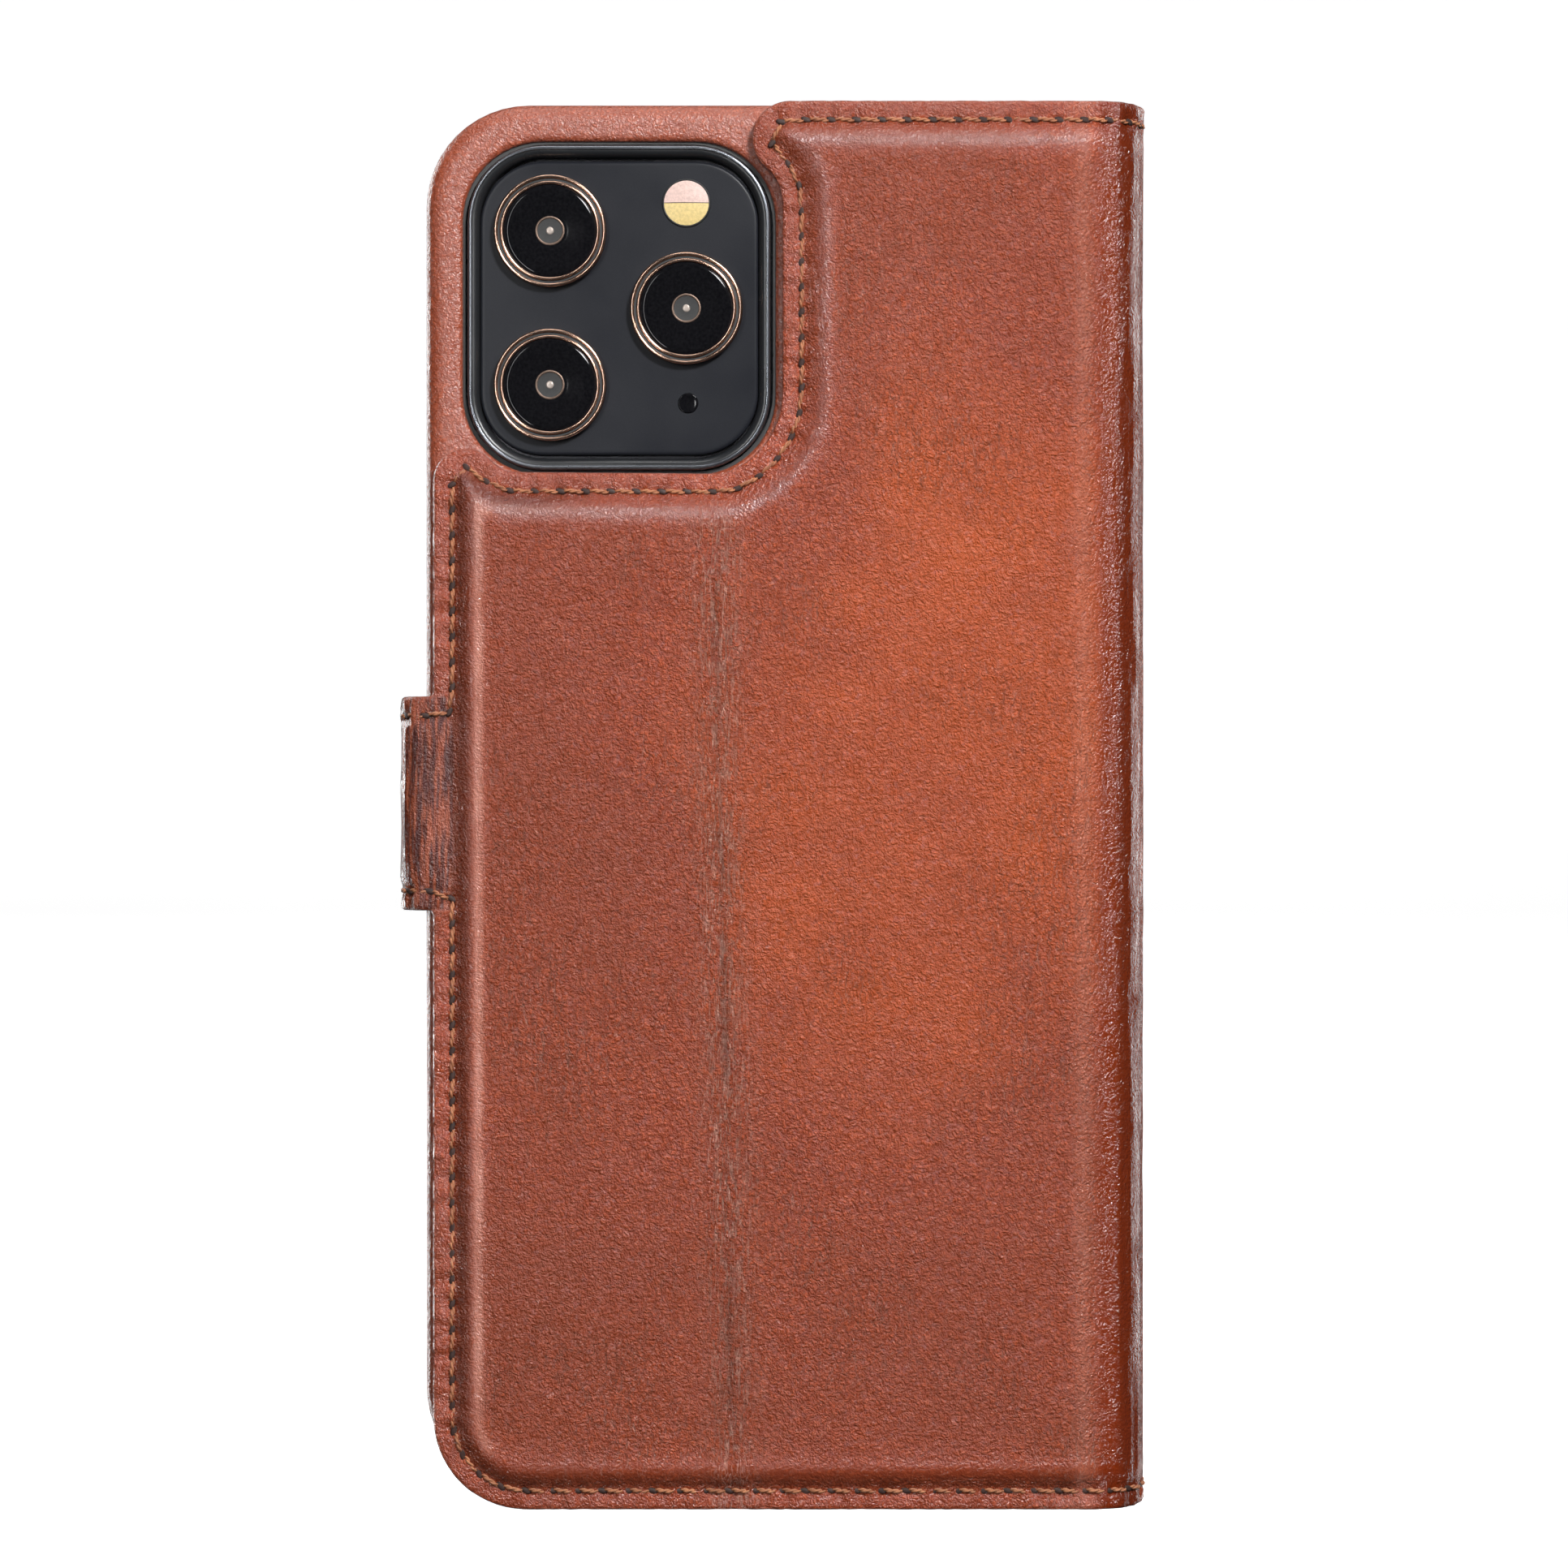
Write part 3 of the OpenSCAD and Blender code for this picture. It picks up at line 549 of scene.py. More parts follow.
steel_mat = plain("nickel_plate", (0.6, 0.6, 0.62), 0.3, 1.0, 0.2, 4.0, stretch=(8, 1, 1))
foil_mat = plain("shield_foil", (0.72, 0.72, 0.74), 0.35, 1.0, 0.5, 0.6, bump=0.0001)


def film(name):
    m = Nodes(name)
    n = m.noise(m.object(), 0.12, 3.0)
    m.link(m.ramp(n, [(0.3, (0.8, 0.83, 0.86)), (0.7, (0.92, 0.94, 0.95))]), "Base Color")
    m.link(m.span(n, 0.3, 0.7, 0.08, 0.2), "Roughness")
    m.bsdf.inputs["Alpha"].default_value = 0.22
    m.bump(n, 0.3, 0.0002)
    return m.mat


film_mat = film("clear_film")


# ---------------------------------------------------------------- folio leather
def sheet_grid(step, inset):
    """Grid over the whole flat folio, strap and all."""
    lo = np.array([SHEET_LOW, -1.0])
    hi = np.array([lo[0] + step * round((U_END + 1 - lo[0]) / step), CASE_H + 1.0])

    def sdf_of(p):
        s, _, near = distance(p, full)
        return s, near

    return grid_surface(sdf_of, lo, hi, step, inset)


def folio():
    """Outer leather of the whole folio: relief on the grid, and a cut edge round it
    that goes down to the lining."""
    pts, quads, border, at, near, away = sheet_grid(STEP, 0.55)
    d, _, _ = distance(pts, full)
    pad_d, _, _ = distance(pts, pads)
    side, along, _ = distance(pts, seam)
    h = relief(pts[:, 0], pts[:, 1], d, pad_d, along, side)
    verts = [np.column_stack([pts, h])]
    edge = [np.zeros(len(pts))]
    order = np.full(len(pts), -1)
    order[at] = np.arange(len(at))
    faces = list(quads)
    # rings round the edge: inset, drop below the surface, share of the cut colour
    rings = [(0.2, -0.12, 0.0), (0.02, -0.34, 0.5), (0.0, -0.6, 1.0), (0.0, -1.72, 1.0),
             (0.3, -SHEET_T, 1.0)]
    offset, ring_of = len(pts), []
    for inset, drop, e in rings:
        p = near[at] + away * inset
        verts.append(np.column_stack([p, h[at] * max(0.0, 1 + drop) + drop]))
        edge.append(np.full(len(at), e))
        ring_of.append(offset + np.arange(len(at)))
        offset += len(at)
    for a, b in border:
        chain = [at[order[a]]] + [r[order[a]] for r in ring_of]
        chain2 = [at[order[b]]] + [r[order[b]] for r in ring_of]
        for k in range(len(rings)):
            faces.append((chain2[k], chain[k], chain[k + 1], chain2[k + 1]))
    verts, edge = np.concatenate(verts), np.concatenate(edge)
    return verts, faces, edge


def cut_pieces(verts, faces, marks):
    """Index lists of the faces between each pair of neighbouring cut lines."""
    middle = np.array([np.mean(verts[list(f), 0]) for f in faces])
    found = []
    for lo, hi in zip(marks, marks[1:]):
        found.append(np.nonzero((middle >= lo) & (middle < hi))[0])
    return found


def piece(name, verts, faces, chosen, material, attributes):
    sub = [faces[k] for k in chosen]
    used = np.unique(np.concatenate([np.asarray(f) for f in sub]))
    index = {int(v): k for k, v in enumerate(used)}
    local = [tuple(index[int(v)] for v in f) for f in sub]
    flat = verts[used]
    placed = place(flat[:, 0], flat[:, 1], flat[:, 2])
    extra = {k: a[used] for k, a in attributes.items()}
    extra["rest"] = np.column_stack([flat[:, 0], flat[:, 1], flat[:, 2]])
    return mesh_object(name, placed, local, material, extra), used


def vertex_normals(points, faces):
    quads = np.array([f for f in faces if len(f) == 4])
    p = points[quads]
    n = np.cross(p[:, 2] - p[:, 0], p[:, 3] - p[:, 1])
    out = np.zeros_like(points)
    for k in range(4):
        np.add.at(out, quads[:, k], n)
    return out / np.maximum(np.linalg.norm(out, axis=1), 1e-12)[:, None]


# where the sheet is cut: tab, strap, back, spine (back half, front half), front
MARKS = [-100, -60.0, -40.5, 30.0, 49.5, 68.5, 200]
verts, faces, edge = folio()
u, z = verts[:, 0], verts[:, 1]
crease = np.exp(-((u - fold_line(z)) / 2.6) ** 2) * smooth((122 - z) / 6) * (u > -30)
right = np.exp(-((u - 12) / 9) ** 2) * np.exp(-((z - 150) / 30) ** 2) * 0.12
u_fold = np.minimum(u, U_SIDE + U_SIDE2 - u)
# painted shade on the spine band where it turns away from the light, and a little on the top bevel
painted_shade_band = smooth((u_fold - 36.2) / 1.8) * smooth((44.5 - u_fold) / 3.5)
side_d, _, _ = distance(verts[:, :2], pads)
top_bevel = smooth((side_d - 2.5) / 1.2) * smooth((6.5 - side_d) / 2.5) * (u > -LEFT)
painted_shade_band = np.maximum(painted_shade_band, 0.2 * top_bevel * (u < 36))
on_strap = smooth((STRAP_W / 2 + 0.2 - np.abs(z - STRAP_Z)) / 0.7) * smooth((u + 58) / 8)
# painted shade: darker at the strap root, on the spine, on the left, bottom and top bevels and in the
# crease dent
dip_and_painted_shade = 0.9 * smooth((-38.4 - u) / 1.3) * on_strap * (1 - 0.7 * smooth((-44.0 - u) / 1.2))
dip_and_painted_shade = np.maximum(dip_and_painted_shade, 0.5 * smooth((u_fold - 38.6) / 1.8) * smooth((46 - u_fold) / 3))
left_bevel = np.exp(-(np.abs(side_d - 3.6) / 1.05) ** 3) * smooth((-20 - u) / 12) * (u > -LEFT)
low_bevel = np.exp(-((side_d - 3.7) / 1.1) ** 2) * smooth((12 - z) / 6) * (u > -LEFT)
# painted highlight: pale on the left bevel's ridge and along the spine
painted_highlight = np.exp(-((side_d - 5.5) / 0.5) ** 2) * smooth((-34 - u) / 1.5) * (u > -LEFT)
painted_highlight = np.maximum(painted_highlight, 0.35 * np.exp(-((u_fold - 35.1) / 1.2) ** 2))
painted_highlight = painted_highlight * (0.75 + 0.25 * n2(u / 2, z / 4))
top_bevel_dark = 0.4 * np.exp(-((side_d - 4.8) / 1.0) ** 2) * smooth((z - 108) / 6)
dip_and_painted_shade = np.maximum(dip_and_painted_shade, np.maximum(0.6 * left_bevel, 0.4 * low_bevel))
dip_and_painted_shade = np.maximum(dip_and_painted_shade, top_bevel_dark * (u > -LEFT) * (u < 36))
# painted light: lighter at the middle right, darker at the left, the top and the lower right, plus
# random mottle
mottle_and_painted_light = (1.0 * np.exp(-((u - 18) / 24) ** 2 - ((z - 90) / 42) ** 2)
          - 0.75 * np.exp(-((u + 30) / 17) ** 2)
          - 0.8 * np.exp(-((u - 18) / 30) ** 2 - ((z - 158) / 20) ** 2)
          - 0.7 * np.exp(-((u - 24) / 24) ** 2 - ((z - 32) / 22) ** 2)
          + 0.45 * n1(u / 19, z / 24) + 0.3 * n2(u / 7, z / 6))
crease = np.maximum(crease, 0.45 * smooth((-41 - u) / 1.0) * smooth((u + 60) / 6))
# painted shade and light of the strap's folds, from the root round the bend
painted_fold_shade = smooth((-39.0 - u) / 1.2) * on_strap * (1 - 0.8 * smooth((-46.5 - u) / 4))
# painted shade along the dent of the stand fold's crease
x_fold = u - fold_line(z) + 0.25 * n3(u / 30, z / 3.5)
dent = np.exp(-(x_fold / 0.36) ** 2) * smooth((121 - z) / 4) * (0.55 + 0.45 * n1(u / 40, z / 7))
dip_and_painted_shade = np.maximum(dip_and_painted_shade, 0.6 * dent)
tight = np.exp(-((side_d - 4.8) / 1.4) ** 2) * (u > -LEFT)
tight = np.maximum(tight, 0.5 * smooth((3 - side_d) / 0.8))
tight = np.maximum(tight, 0.8 * painted_shade_band)
fields = {"edge": edge, "crease": crease + right, "painted_shade_band": painted_shade_band, "dip_and_painted_shade": dip_and_painted_shade,
          "mottle_and_painted_light": mottle_and_painted_light, "tight": tight, "painted_highlight": painted_highlight, "painted_fold_shade": painted_fold_shade}
normals = vertex_normals(place(u, z, verts[:, 2]), faces)
cuts = cut_pieces(verts, faces, MARKS)


def mm(x, y, z):
    return (x * 0.001, (y + BACK_Y) * 0.001, z * 0.001)


# for each piece: the first body, the second body and two points in the frame between which it would
# bend; only the keys are read here
BENDS = {
    "tab": ("strap_side", "strap_tab", mm(-44.8, 8.2, 83.7), mm(-44.6, 13.0, 83.7)),
    "strap": ("stand_flap", "strap_side", mm(-43.2, -8.3, 83.7), mm(-44.8, -6.7, 83.7)),
    "back": ("stand_flap", "holder", mm(-10.4, -9.2, 83.7), mm(-4.6, -9.2, 83.7)),
    "spine_back": ("holder", "spine", mm(36.5, -9.2, 83.7), mm(42.8, -2.9, 83.7)),
    "spine_front": ("spine", "front_cover", mm(42.8, 2.9, 83.7), mm(36.5, 9.2, 83.7)),
}
# the CAD sheets that each piece stands for
PANELS = {"tab": ("tab",), "strap": ("strap",), "back": ("flap", "back"),
          "spine_back": ("spine",), "spine_front": (), "front": ("front",)}


def flex(obj, stem, slot, *nodes):
    """A piece of the folio: hides the CAD nodes it stands for; a piece listed in BENDS gets its
    transform baked into its mesh, the others ride the front cover. slot is not used.
    """
    if nodes:
        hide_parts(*nodes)
    if stem in BENDS:
        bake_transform(obj)
    else:
        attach(obj, "front_cover")


for stem, chosen in zip(PANELS, cuts):
    obj, used = piece(stem + "_skin", verts, faces, chosen, skin, fields)
    obj.data.normals_split_custom_set_from_vertices(normals[used].tolist())
    flex(obj, stem, "leather", *(panel + "_leather" for panel in PANELS[stem]))


def lining():
    """One suede sheet inside the folio, and the backing of the strap."""
    pts, quads = sheet_grid(LINING_STEP, 0.3)[:2]
    return np.column_stack([pts, np.full(len(pts), -SHEET_T)]), list(quads[:, ::-1])


lining_verts, lining_faces = lining()
for stem, chosen in zip(PANELS, cut_pieces(lining_verts, lining_faces, MARKS)):
    obj, _ = piece(stem + "_lining", lining_verts, lining_faces, chosen, lining_mat, {})
    ending = "_backing" if stem in ("tab", "strap") else "_lining"
    flex(obj, stem, "lining", *(panel + ending for panel in PANELS[stem]))


# ---------------------------------------------------------------- stitches
def twist_stitch(p0, p1, n0, verts, faces):
    """Two plies twisted round each other, arched from hole to hole (mm, in space)."""
    along = p1 - p0
    length = np.linalg.norm(along)
    t_dir = along / length
    s_dir = np.cross(t_dir, n0)
    sections, sides, ply, apart = 9, 6, 0.17, 0.13
    for phase in (0.0, math.pi):
        base = len(verts)
        for k in range(sections):
            t = k / (sections - 1)
            a = phase + 2.6 * math.pi * t
            lift = 0.34 * math.sin(math.pi * t) ** 0.7 - 0.14
            c = p0 + along * t + n0 * (lift + apart * math.sin(a)) + s_dir * apart * math.cos(a)
            thin = 0.72 + 0.28 * math.sin(math.pi * t) ** 0.5
            for q in range(sides):
                b = 2 * math.pi * q / sides
                verts.append(c + ply * thin * (math.cos(b) * n0 + math.sin(b) * s_dir))
        for k in range(sections - 1):
            for q in range(sides):
                a0, a1 = base + k * sides + q, base + k * sides + (q + 1) % sides
                faces.append((a0, a1, a1 + sides, a0 + sides))
        faces.append(tuple(base + q for q in range(sides))[::-1])
        faces.append(tuple(base + (sections - 1) * sides + q for q in range(sides)))


def hole(c, n0, t_dir, verts, faces):
    """Small dimple round a needle hole, coloured near black: painted shade of the hole."""
    s_dir = np.cross(t_dir, n0)
    base, count = len(verts), 10
    for radius, lift in ((1.0, -0.06), (0.7, 0.035)):
        for q in range(count):
            b = 2 * math.pi * q / count
            verts.append(c + n0 * lift + radius * (0.68 * math.cos(b) * t_dir
                                                  + (0.35 * math.sin(b) + 0.1 * math.cos(b)) * s_dir))
    for q in range(count):
        q1 = (q + 1) % count
        faces.append((base + q, base + q1, base + count + q1, base + count + q))
    faces.append(tuple(base + count + q for q in range(count)))
    faces.append(tuple(base + q for q in range(count))[::-1])


def stitch_row(points, closed, place_at, groups):
    """Stitches along a row of holes; groups maps a row position to its mesh lists."""
    count = len(points)
    for k in range(count if closed else count - 1):
        a, b = points[k], points[(k + 1) % count]
        step = b - a
        flat = np.linalg.norm(step)
        t2 = step / flat
        side = np.array([-t2[1], t2[0]])
        slant = 0.13
        e0 = a + t2 * 0.34 + side * slant
        e1 = b - t2 * 0.34 - side * slant
        p0, p1 = place_at(e0, 0.0), place_at(e1, 0.0)
        mid = (e0 + e1) / 2
        n0 = place_at(mid, 1.0) - place_at(mid, 0.0)
        bucket = groups(mid)
        if bucket is None:
            continue
        threads, holes = bucket
        twist_stitch(p0, p1, n0, *threads)
        at_hole = place_at(a, 0.0)
        out = place_at(a, 1.0) - at_hole
        direction = (p1 - p0) / np.linalg.norm(p1 - p0)
        direction = direction - out * (direction @ out)
        hole(at_hole, out, direction / np.linalg.norm(direction), *holes)


buckets = {stem: (([], []), ([], [])) for stem in PANELS}


def folio_bucket(mid):
    for stem, lo, hi in zip(PANELS, MARKS, MARKS[1:]):
        if lo <= mid[0] < hi:
            return buckets[stem]
    return None


def on_folio(p, h):
    return place(p[0], p[1], h - 0.1)


stitch_row(HOLES, True, on_folio, folio_bucket)
for stem, (threads, holes) in buckets.items():
    made = mesh_object(stem + "_stitches", np.array(threads[0]), threads[1], thread_mat)
    dark = mesh_object(stem + "_needle_holes", np.array(holes[0]), holes[1], hole_shade_mat)
    flex(made, stem, "thread", *(panel + "_thread" for panel in PANELS[stem]))
    flex(dark, stem, "thread")


# ---------------------------------------------------------------- swept plates
def round_rect(w, h, r, e=0.0, cx=0.0, cz=0.0, n=12):
    r = max(r - e, 0.05)
    x, z = w / 2 - e - r, h / 2 - e - r
    return np.concatenate([arc(cx + x, cz + z, r, 0, 90, n), arc(cx - x, cz + z, r, 90, 180, n),
                           arc(cx - x, cz - z, r, 180, 270, n), arc(cx + x, cz - z, r, 270, 360, n)])


def sweep(name, outline, profile, material, cap_end=True, attributes=None,
          hole_outline=None, hole_profile=None):
    """Rings of outline(inset) at depths y, joined; the last ring is closed flat, or
    joined to the first ring of a hole with its own profile."""
    bm = bmesh.new()

    def ring(points, y):
        return [bm.verts.new((p[0], y, p[1])) for p in points]

    def join(a, b, flip=False):
        n = len(a)
        for k in range(n):
            f = (a[k], a[(k + 1) % n], b[(k + 1) % n], b[k])
            bm.faces.new(f[::-1] if flip else f)

    made = [ring(outline(e), y) for e, y in profile]
    for a, b in zip(made, made[1:]):
        join(a, b)
    if hole_outline is None:
        if cap_end:
            bm.faces.new(made[-1])
    else:
        inner = [ring(hole_outline(e), y) for e, y in hole_profile]
        for a, b in zip(inner, inner[1:]):
            join(a, b, True)
        bm.edges.ensure_lookup_table()
        loop = []
        for r in (made[-1], inner[0]):
            for k in range(len(r)):
                loop.append(bm.edges.get((r[k], r[(k + 1) % len(r)])))
        bmesh.ops.triangle_fill(bm, edges=loop, use_beauty=True)
    bmesh.ops.remove_doubles(bm, verts=bm.verts, dist=1e-5)
    bmesh.ops.recalc_face_normals(bm, faces=bm.faces)
    co = np.array([v.co for v in bm.verts])
    bm.verts.index_update()
    fs = [tuple(v.index for v in f.verts) for f in bm.faces]
    bm.free()
    extra = {"rest": np.column_stack([co[:, 0], co[:, 2], co[:, 1]])}
    extra.update({k: fn(co) for k, fn in (attributes or {}).items()})
    return mesh_object(name, co, fs, material, extra)


def quarter(r, y0, way, n=6, e0=0.0):
    """Profile of a rounded edge from a side wall (inset e0) to a face."""
    a = np.linspace(0, math.pi / 2, n + 1)
    return [(e0 + r * (1 - math.cos(t)), y0 + way * r * math.sin(t)) for t in a]


# ---------------------------------------------------------------- holder and camera
def holder_line(e):
    return round_rect(*HOLDER, e, PHONE_X, HOLDER_Z)


def window_line(e):
    return round_rect(*WINDOW, e, CAM_X, CAM_Z)


wrap_profile = [(0.7, 2.2), (0.25, 2.32), (0.0, 2.1), (0.0, -4.9)]
wrap_profile += quarter(2.45, -4.9, -1, 9)[1:] + [(2.8, -7.35)]
window_profile = [(-1.2, -7.35), (-0.8, -7.35), (-0.42, -7.29), (-0.15, -7.12), (0.0, -6.85),
                  (0.0, -5.5)]


def shell_edge(co):
    x, z = co[:, 0] - CAM_X, co[:, 2] - CAM_Z
    near_hole = (np.abs(x) < 18.9) & (np.abs(z) < 20.1)
    return np.where(near_hole & (co[:, 1] > -7.0), 0.55, 0.0)


wrap = sweep("shell_leather_wrap", holder_line, wrap_profile, shell_skin,
             hole_outline=window_line, hole_profile=window_profile,
             attributes={"edge": shell_edge})
belong(wrap, "holder", "leather", "shell_leather")


def bezel_line(e):
    return round_rect(*BEZEL, e, CAM_X, CAM_Z)


bezel = sweep("bezel_ring", bezel_line,
              [(0.0, -5.5), (0.0, -7.35), (0.12, -7.6), (0.35, -7.72), (0.75, -7.7),
               (1.05, -7.5), (1.3, -7.15), (1.45, -6.6), (1.45, -5.5)], bezel_mat, cap_end=False)
belong(bezel, "holder", "bezel", "camera_bezel")
rim = sweep("bezel_bright_rim", bezel_line,
            [(0.02, -7.4), (0.08, -7.68), (0.22, -7.8), (0.42, -7.82), (0.56, -7.75),
             (0.5, -7.6)], rim_mat, cap_end=False)
belong(rim, "holder", "bezel")


def plate_line(e):
    return round_rect(*PLATE, e, CAM_X, CAM_Z)


plate = sweep("camera_plate_glass", plate_line,
              [(0.0, -5.45), (0.0, -6.6)] + quarter(0.4, -6.6, -1, 5)[1:] + [(0.7, -7.0)],
              plate_mat)
belong(plate, "holder", "camera_plate", "camera_plate")


def lathe(name, cx, cz, profile, material, slot, *nodes):
    """Ring of revolution about the camera's depth direction; profile is (r, y)."""
    seg = 72
    verts, fs = [], []
    for r, y in profile:
        if r < 1e-6:
            verts.append((cx, y, cz))
            continue
        for k in range(seg):
            a = 2 * math.pi * k / seg
            verts.append((cx + r * math.cos(a), y, cz + r * math.sin(a)))
    start = 0
    for (r0, _), (r1, _) in zip(profile, profile[1:]):
        w0, w1 = (1 if r0 < 1e-6 else seg), (1 if r1 < 1e-6 else seg)
        nxt = start + w0
        for k in range(seg):
            k1 = (k + 1) % seg
            if w0 == 1:
                fs.append((start, nxt + k1, nxt + k))
            elif w1 == 1:
                fs.append((start + k, start + k1, nxt))
            else:
                fs.append((start + k, start + k1, nxt + k1, nxt + k))
        start = nxt
    belong(mesh_object(name, np.array(verts), fs, material), "holder", slot, *nodes)


LENSES = {"top": (-8.2, 9.1), "side": (8.0, -0.1), "low": (-8.2, -9.2)}
for tag, (dx, dz) in LENSES.items():
    cx, cz = CAM_X + dx, CAM_Z + dz
    lathe("lens_rim_" + tag, cx, cz, [
        (6.72, -6.95), (6.72, -7.9), (6.66, -8.1), (6.5, -8.24), (6.32, -8.2), (6.24, -8.05),
        (6.2, -7.9)], bronze, "lens_ring", "lens_ring_" + tag)
    lathe("lens_groove_" + tag, cx, cz, [
        (6.24, -7.95), (6.0, -7.88), (5.9, -7.95)], black_matte, "lens_ring")
    lathe("lens_inner_rim_" + tag, cx, cz, [
        (5.95, -7.85), (5.93, -8.12), (5.8, -8.26), (5.62, -8.24), (5.52, -8.1), (5.5, -7.9)],
        bronze, "lens_ring")
    lathe("lens_cover_" + tag, cx, cz, [
        (5.56, -7.9), (5.5, -8.0), (4.9, -8.02), (3.9, -8.01), (3.75, -7.98), (2.3, -7.975),
        (2.1, -7.93), (1.75, -7.92)], black_glass, "lens_glass", "lens_glass_" + tag)
    lathe("lens_iris_" + tag, cx, cz, [
        (1.78, -7.88), (1.72, -7.95), (1.6, -7.97), (1.5, -7.94), (1.46, -7.86)],
        iris_mat, "lens_glass")
    lathe("lens_barrel_" + tag, cx, cz, [
        (1.52, -7.88), (1.0, -7.84), (0.5, -7.86), (0.4, -7.86)], black_matte, "lens_glass")
    # a pale disc at the lens centre, a painted glint
    lathe("lens_point_" + tag, cx, cz, [
        (0.46, -7.84), (0.43, -7.91), (0.3, -7.94), (0.15, -7.95), (0.0, -7.95)],
        glint, "lens_glass")

FLASH = (CAM_X + 8.0, CAM_Z + 12.5)


def half_disc(name, sign, material):
    """Domed half of the two-tone flash."""
    verts, fs = [], []
    rows, seg = 5, 28
    for k in range(rows + 1):
        r = 2.66 * k / rows
        for q in range(seg + 1):
            a = math.pi * q / seg
            x, z = r * math.cos(a), sign * (r * math.sin(a) * 0.985 + 0.04)
            verts.append((FLASH[0] + x, -7.16 - 0.22 * (1 - (r / 2.8) ** 2), FLASH[1] + z))
    for k in range(rows):
        for q in range(seg):
            a = k * (seg + 1) + q
            f = (a, a + 1, a + seg + 2, a + seg + 1)
            fs.append(f if sign > 0 else f[::-1])
    obj = mesh_object(name, np.array(verts), fs, material)
    belong(obj, "holder", "flash")
    return obj


upper = half_disc("flash_cool_half", 1, flash_pink)
half_disc("flash_warm_half", -1, flash_gold)
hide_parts("flash_lens")
lathe("flash_rim", *FLASH, [(2.9, -6.98), (2.88, -7.12), (2.78, -7.18), (2.66, -7.12),
                            (2.62, -7.02)], black_matte, "flash")
lathe("depth_sensor", CAM_X + 8.2, CAM_Z - 11.3, [
    (1.22, -6.98), (1.2, -7.08), (1.08, -7.12), (0.9, -7.06), (0.0, -7.05)],
    black_glass, "lens_glass", "camera_sensor")


def phone_line(e):
    return round_rect(*PHONE, e, PHONE_X, HOLDER_Z)


screen = sweep("phone_screen_glass", phone_line,
               [(0.5, 1.2)] + quarter(0.45, 1.5, 1, 5, 0.5) + [(1.3, 1.97)], screen_mat)
belong(screen, "holder", "screen_glass", "phone_screen")
border = sweep("phone_screen_border", phone_line,
               [(2.6, 1.93), (2.75, 1.975), (2.9, 1.985), (3.0, 1.93)], screen_edge, cap_end=False)
belong(border, "holder", "screen_glass")
speaker = sweep("phone_ear_speaker", lambda e: round_rect(13, 0.9, 0.45, e, PHONE_X, 162.4),
                [(0.0, 1.92), (0.03, 1.985), (0.12, 1.99), (0.2, 1.95)], black_matte)
belong(speaker, "holder", "screen_glass")


# ---------------------------------------------------------------- card pockets
def pocket_line(top, thumb):
    """Outline of a pocket leaf with its mouth at a height, with or without a thumb notch."""

    def line(e):
        corner = arc(CORNER - LEFT, CORNER, CORNER - 1 - e, 180, 270, 12)
        right, low = 33.8 - e, 1.0 + e
        pts = [corner, arc(right - 1, low + 1, 1, 270, 360, 4), arc(right - 1.2, top - e - 1.2,
               1.2, 0, 90, 4)]
        if thumb:
            rr = 9.0 + e
            dz = 3.0 + e
            a = math.degrees(math.asin(dz / rr))
            pts.append(arc(PHONE_X, top + 3.0, rr, -a, a - 180, 20))
        left = 1.0 - LEFT + e
        pts.append(arc(left + 1.2, top - e - 1.2, 1.2, 90, 180, 4))
        return np.concatenate(pts)
    return line


def pocket(name, n, top, thumb, node, hole=None):
    """One leaf of the pockets, n leaves above the cover's inner face."""
    y1 = INSIDE_Y - POCKET_T * n
    y0 = y1 - POCKET_T
    prof = [(0.0, y1), (0.0, y0 + 0.3), (0.08, y0 + 0.12), (0.22, y0 + 0.03), (0.4, y0),
            (0.75, y0)]
    outline = pocket_line(top, thumb)

    def edge_of(co):
        return np.where(co[:, 1] > y0 + 0.06, 0.8, 0.0)

    if hole:
        obj = sweep(name, outline, prof, pocket_skin, hole_outline=hole,
                    hole_profile=[(-0.5, y0), (-0.25, y0), (-0.1, y0 + 0.05), (0.0, y0 + 0.2),
                                  (0.0, y1)], attributes={"edge": edge_of})
    else:
        obj = sweep(name, outline, prof, pocket_skin, attributes={"edge": edge_of})
    belong(obj, "front_cover", "pocket_leather", node)


def id_line(e):
    return round_rect(56, 62, 4, e, PHONE_X, 42)


pocket("cash_pocket_leaf", 0, 152.0, False, "cash_pocket")
pocket("card_leaf_top", 1, 118.0, True, "card_pocket_top")
pocket("card_leaf_mid", 2, 104.0, True, "card_pocket_mid")
pocket("card_leaf_low", 3, 90.0, True, "card_pocket_low", id_line)
window = sweep("id_window_film", id_line, [(-0.6, 5.28), (-0.6, 5.05), (-0.3, 5.02), (0.5, 5.0)],
               film_mat)
belong(window, "front_cover", "clear_film", "id_window")

pocket_threads, pocket_holes = ([], []), ([], [])


def row_points(path, step):
    """Needle holes at an even spacing along an open path."""
    seg = np.linalg.norm(np.diff(path, axis=0), axis=1)
    run = np.concatenate([[0], np.cumsum(seg)])
    count = int(round(run[-1] / step))
    s = np.linspace(0, run[-1], count + 1)
    return np.stack([np.interp(s, run, path[:, 0]), np.interp(s, run, path[:, 1])], 1)


def inner_row(path, y_of):
    """A row of stitches on the pockets; y_of gives the depth of the leaf under each."""

    def at(p, h):
        return np.array([p[0], y_of(p) - h + 0.06, p[1]])
    stitch_row(row_points(path, PITCH), False, at, lambda m: (pocket_threads, pocket_holes))


def pocket_depth(p):
    return 4.6 if p[1] < 89.6 else 5.3 if p[1] < 103.6 else 6.0 if p[1] < 117.6 else 6.7


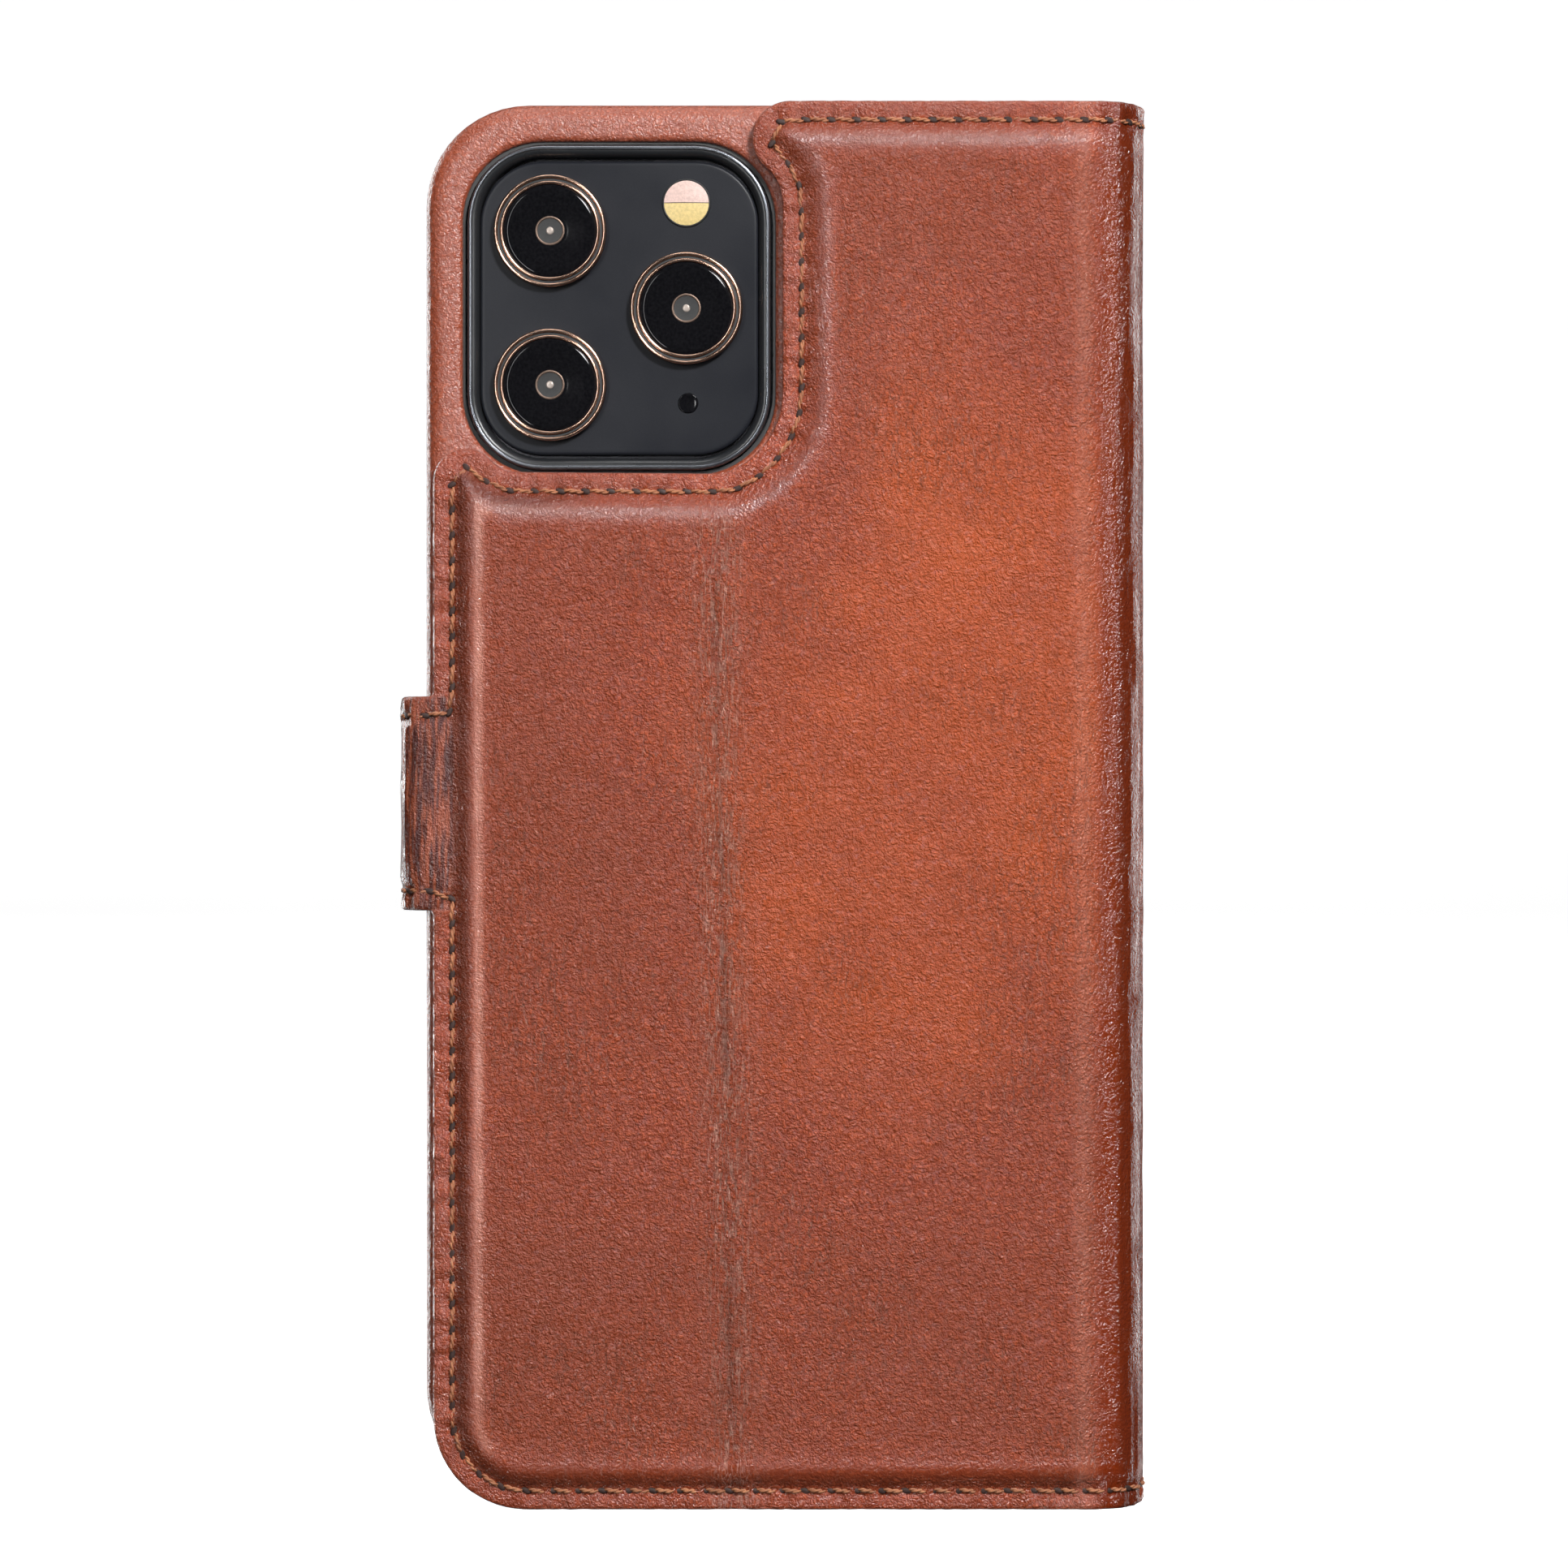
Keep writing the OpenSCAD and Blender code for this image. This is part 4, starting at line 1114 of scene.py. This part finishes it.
left_in, right_in, low_in = 1.0 - LEFT + 2.0, 31.8, 3.0
u_path = np.concatenate([[[left_in, 87.6]], arc(CORNER - LEFT, CORNER, CORNER - 3, 180, 270, 10),
                         [[right_in, low_in], [right_in, 87.6]]])
inner_row(u_path, pocket_depth)
for base, top in ((91.0, 102.2), (105.0, 116.2), (119.0, 150.4)):
    for x in (left_in, right_in):
        inner_row(np.array([[x, base], [x, top]]), pocket_depth)
made = mesh_object("pocket_stitches", np.array(pocket_threads[0]), pocket_threads[1], thread_mat)
dark = mesh_object("pocket_needle_holes", np.array(pocket_holes[0]), pocket_holes[1], hole_shade_mat)
belong(made, "front_cover", "thread", "pocket_thread")
belong(dark, "front_cover", "thread")

# ---------------------------------------------------------------- carried-over nodes
CARRIED = {
    "shell_core": black_shell, "phone_body": phone_band, "back_foam": foam_mat,
    "flap_foam": foam_mat, "front_foam": foam_mat, "back_board": board_mat,
    "flap_board": board_mat, "front_board": board_mat, "front_shield": foil_mat,
    "front_magnet": steel_mat, "tab_magnet": steel_mat,
}
for node, material in CARRIED.items():
    obj = bpy.data.objects[node]
    for slot in obj.material_slots:
        slot.material = material
    if not obj.material_slots:
        obj.data.materials.append(material)

# ---------------------------------------------------------------- stage
def stage_material(name, color):
    m = Nodes(name)
    n = m.noise(m.object(1.0), 3.0, 2.0)
    shade = m.ramp(n, [(0.3, tuple(c * 0.985 for c in color)), (0.7, color)])
    m.link(shade, "Base Color")
    m.link(shade, "Emission Color")
    m.bsdf.inputs["Emission Strength"].default_value = 1.0
    m.bsdf.inputs["Roughness"].default_value = 0.9
    m.bsdf.inputs["Specular IOR Level"].default_value = 0.1
    return m.mat


def cyclorama():
    """Round floor that curves up into a wall all round."""
    profile = [(0.0, 0.0), (0.4, 0.0), (2.4, 0.0)]
    for k in range(1, 13):
        a = math.pi / 2 * k / 12
        profile.append((2.4 + 0.8 * math.sin(a), 0.8 * (1 - math.cos(a))))
    profile.append((3.2, 4.0))
    verts, fs, seg = [(0.0, -BACK_Y, 0.0)], [], 72
    for r, z in profile[1:]:
        for k in range(seg):
            a = 2 * math.pi * k / seg
            verts.append((r * math.cos(a) * 1000, r * math.sin(a) * 1000 - BACK_Y, z * 1000))
    for k in range(seg):
        k1 = (k + 1) % seg
        fs.append((0, 1 + k, 1 + k1))
        for n in range(len(profile) - 2):
            a, b = 1 + n * seg, 1 + (n + 1) * seg
            fs.append((a + k, b + k, b + k1, a + k1))
    return mesh_object("studio_floor", np.array(verts), fs,
                       stage_material("studio_white", (0.9, 0.9, 0.9)))


backdrop = cyclorama()
backdrop.visible_diffuse = False
backdrop.visible_glossy = False

world = bpy.data.worlds.new("studio")
bpy.context.scene.world = world
world.use_nodes = True
world.node_tree.nodes["Background"].inputs[0].default_value = (1, 1, 1, 1)
world.node_tree.nodes["Background"].inputs[1].default_value = 0.05


def area(name, at, target, size, power, color=(1, 1, 1)):
    light = bpy.data.lights.new(name, "AREA")
    light.shape = "RECTANGLE"
    light.size, light.size_y = size
    light.energy = power
    light.color = color
    obj = bpy.data.objects.new(name, light)
    obj.location = at
    way = Vector(target) - Vector(at)
    obj.rotation_euler = way.to_track_quat("-Z", "Y").to_euler()
    bpy.context.scene.collection.objects.link(obj)


CENTRE = (0.0, 0.0, 0.085)
area("light_key", (0.36, -0.8, 0.6), CENTRE, (0.2, 0.2), 13)
area("light_left", (-0.34, -0.9, 0.15), CENTRE, (0.05, 0.9), 5)
area("light_top", (-0.05, -0.25, 1.0), (0, 0, 0.12), (0.4, 0.2), 1.5)
area("light_rim_left", (-0.7, 0.8, 0.15), CENTRE, (0.25, 1.0), 9)
area("light_rim_right", (0.7, 0.8, 0.15), CENTRE, (0.25, 1.0), 4)
area("light_floor", (0.0, 0.3, 1.4), (0, 0.3, 0.0), (1.6, 0.8), 7)

DISTANCE, PICTURE_W = 0.5, 0.18541  # m, from the camera to the case and across the picture
camera_data = bpy.data.cameras.new("camera")
camera_data.sensor_width = 36.0
camera_data.lens = 36.0 * DISTANCE / PICTURE_W
camera_data.clip_start = 0.01
camera = bpy.data.objects.new("camera", camera_data)
camera.location = (-0.0002, -0.0014 - DISTANCE, 0.0860)
camera.rotation_euler = (math.pi / 2, 0, 0)
bpy.context.scene.collection.objects.link(camera)
bpy.context.scene.camera = camera
bpy.context.scene.view_settings.view_transform = "Standard"
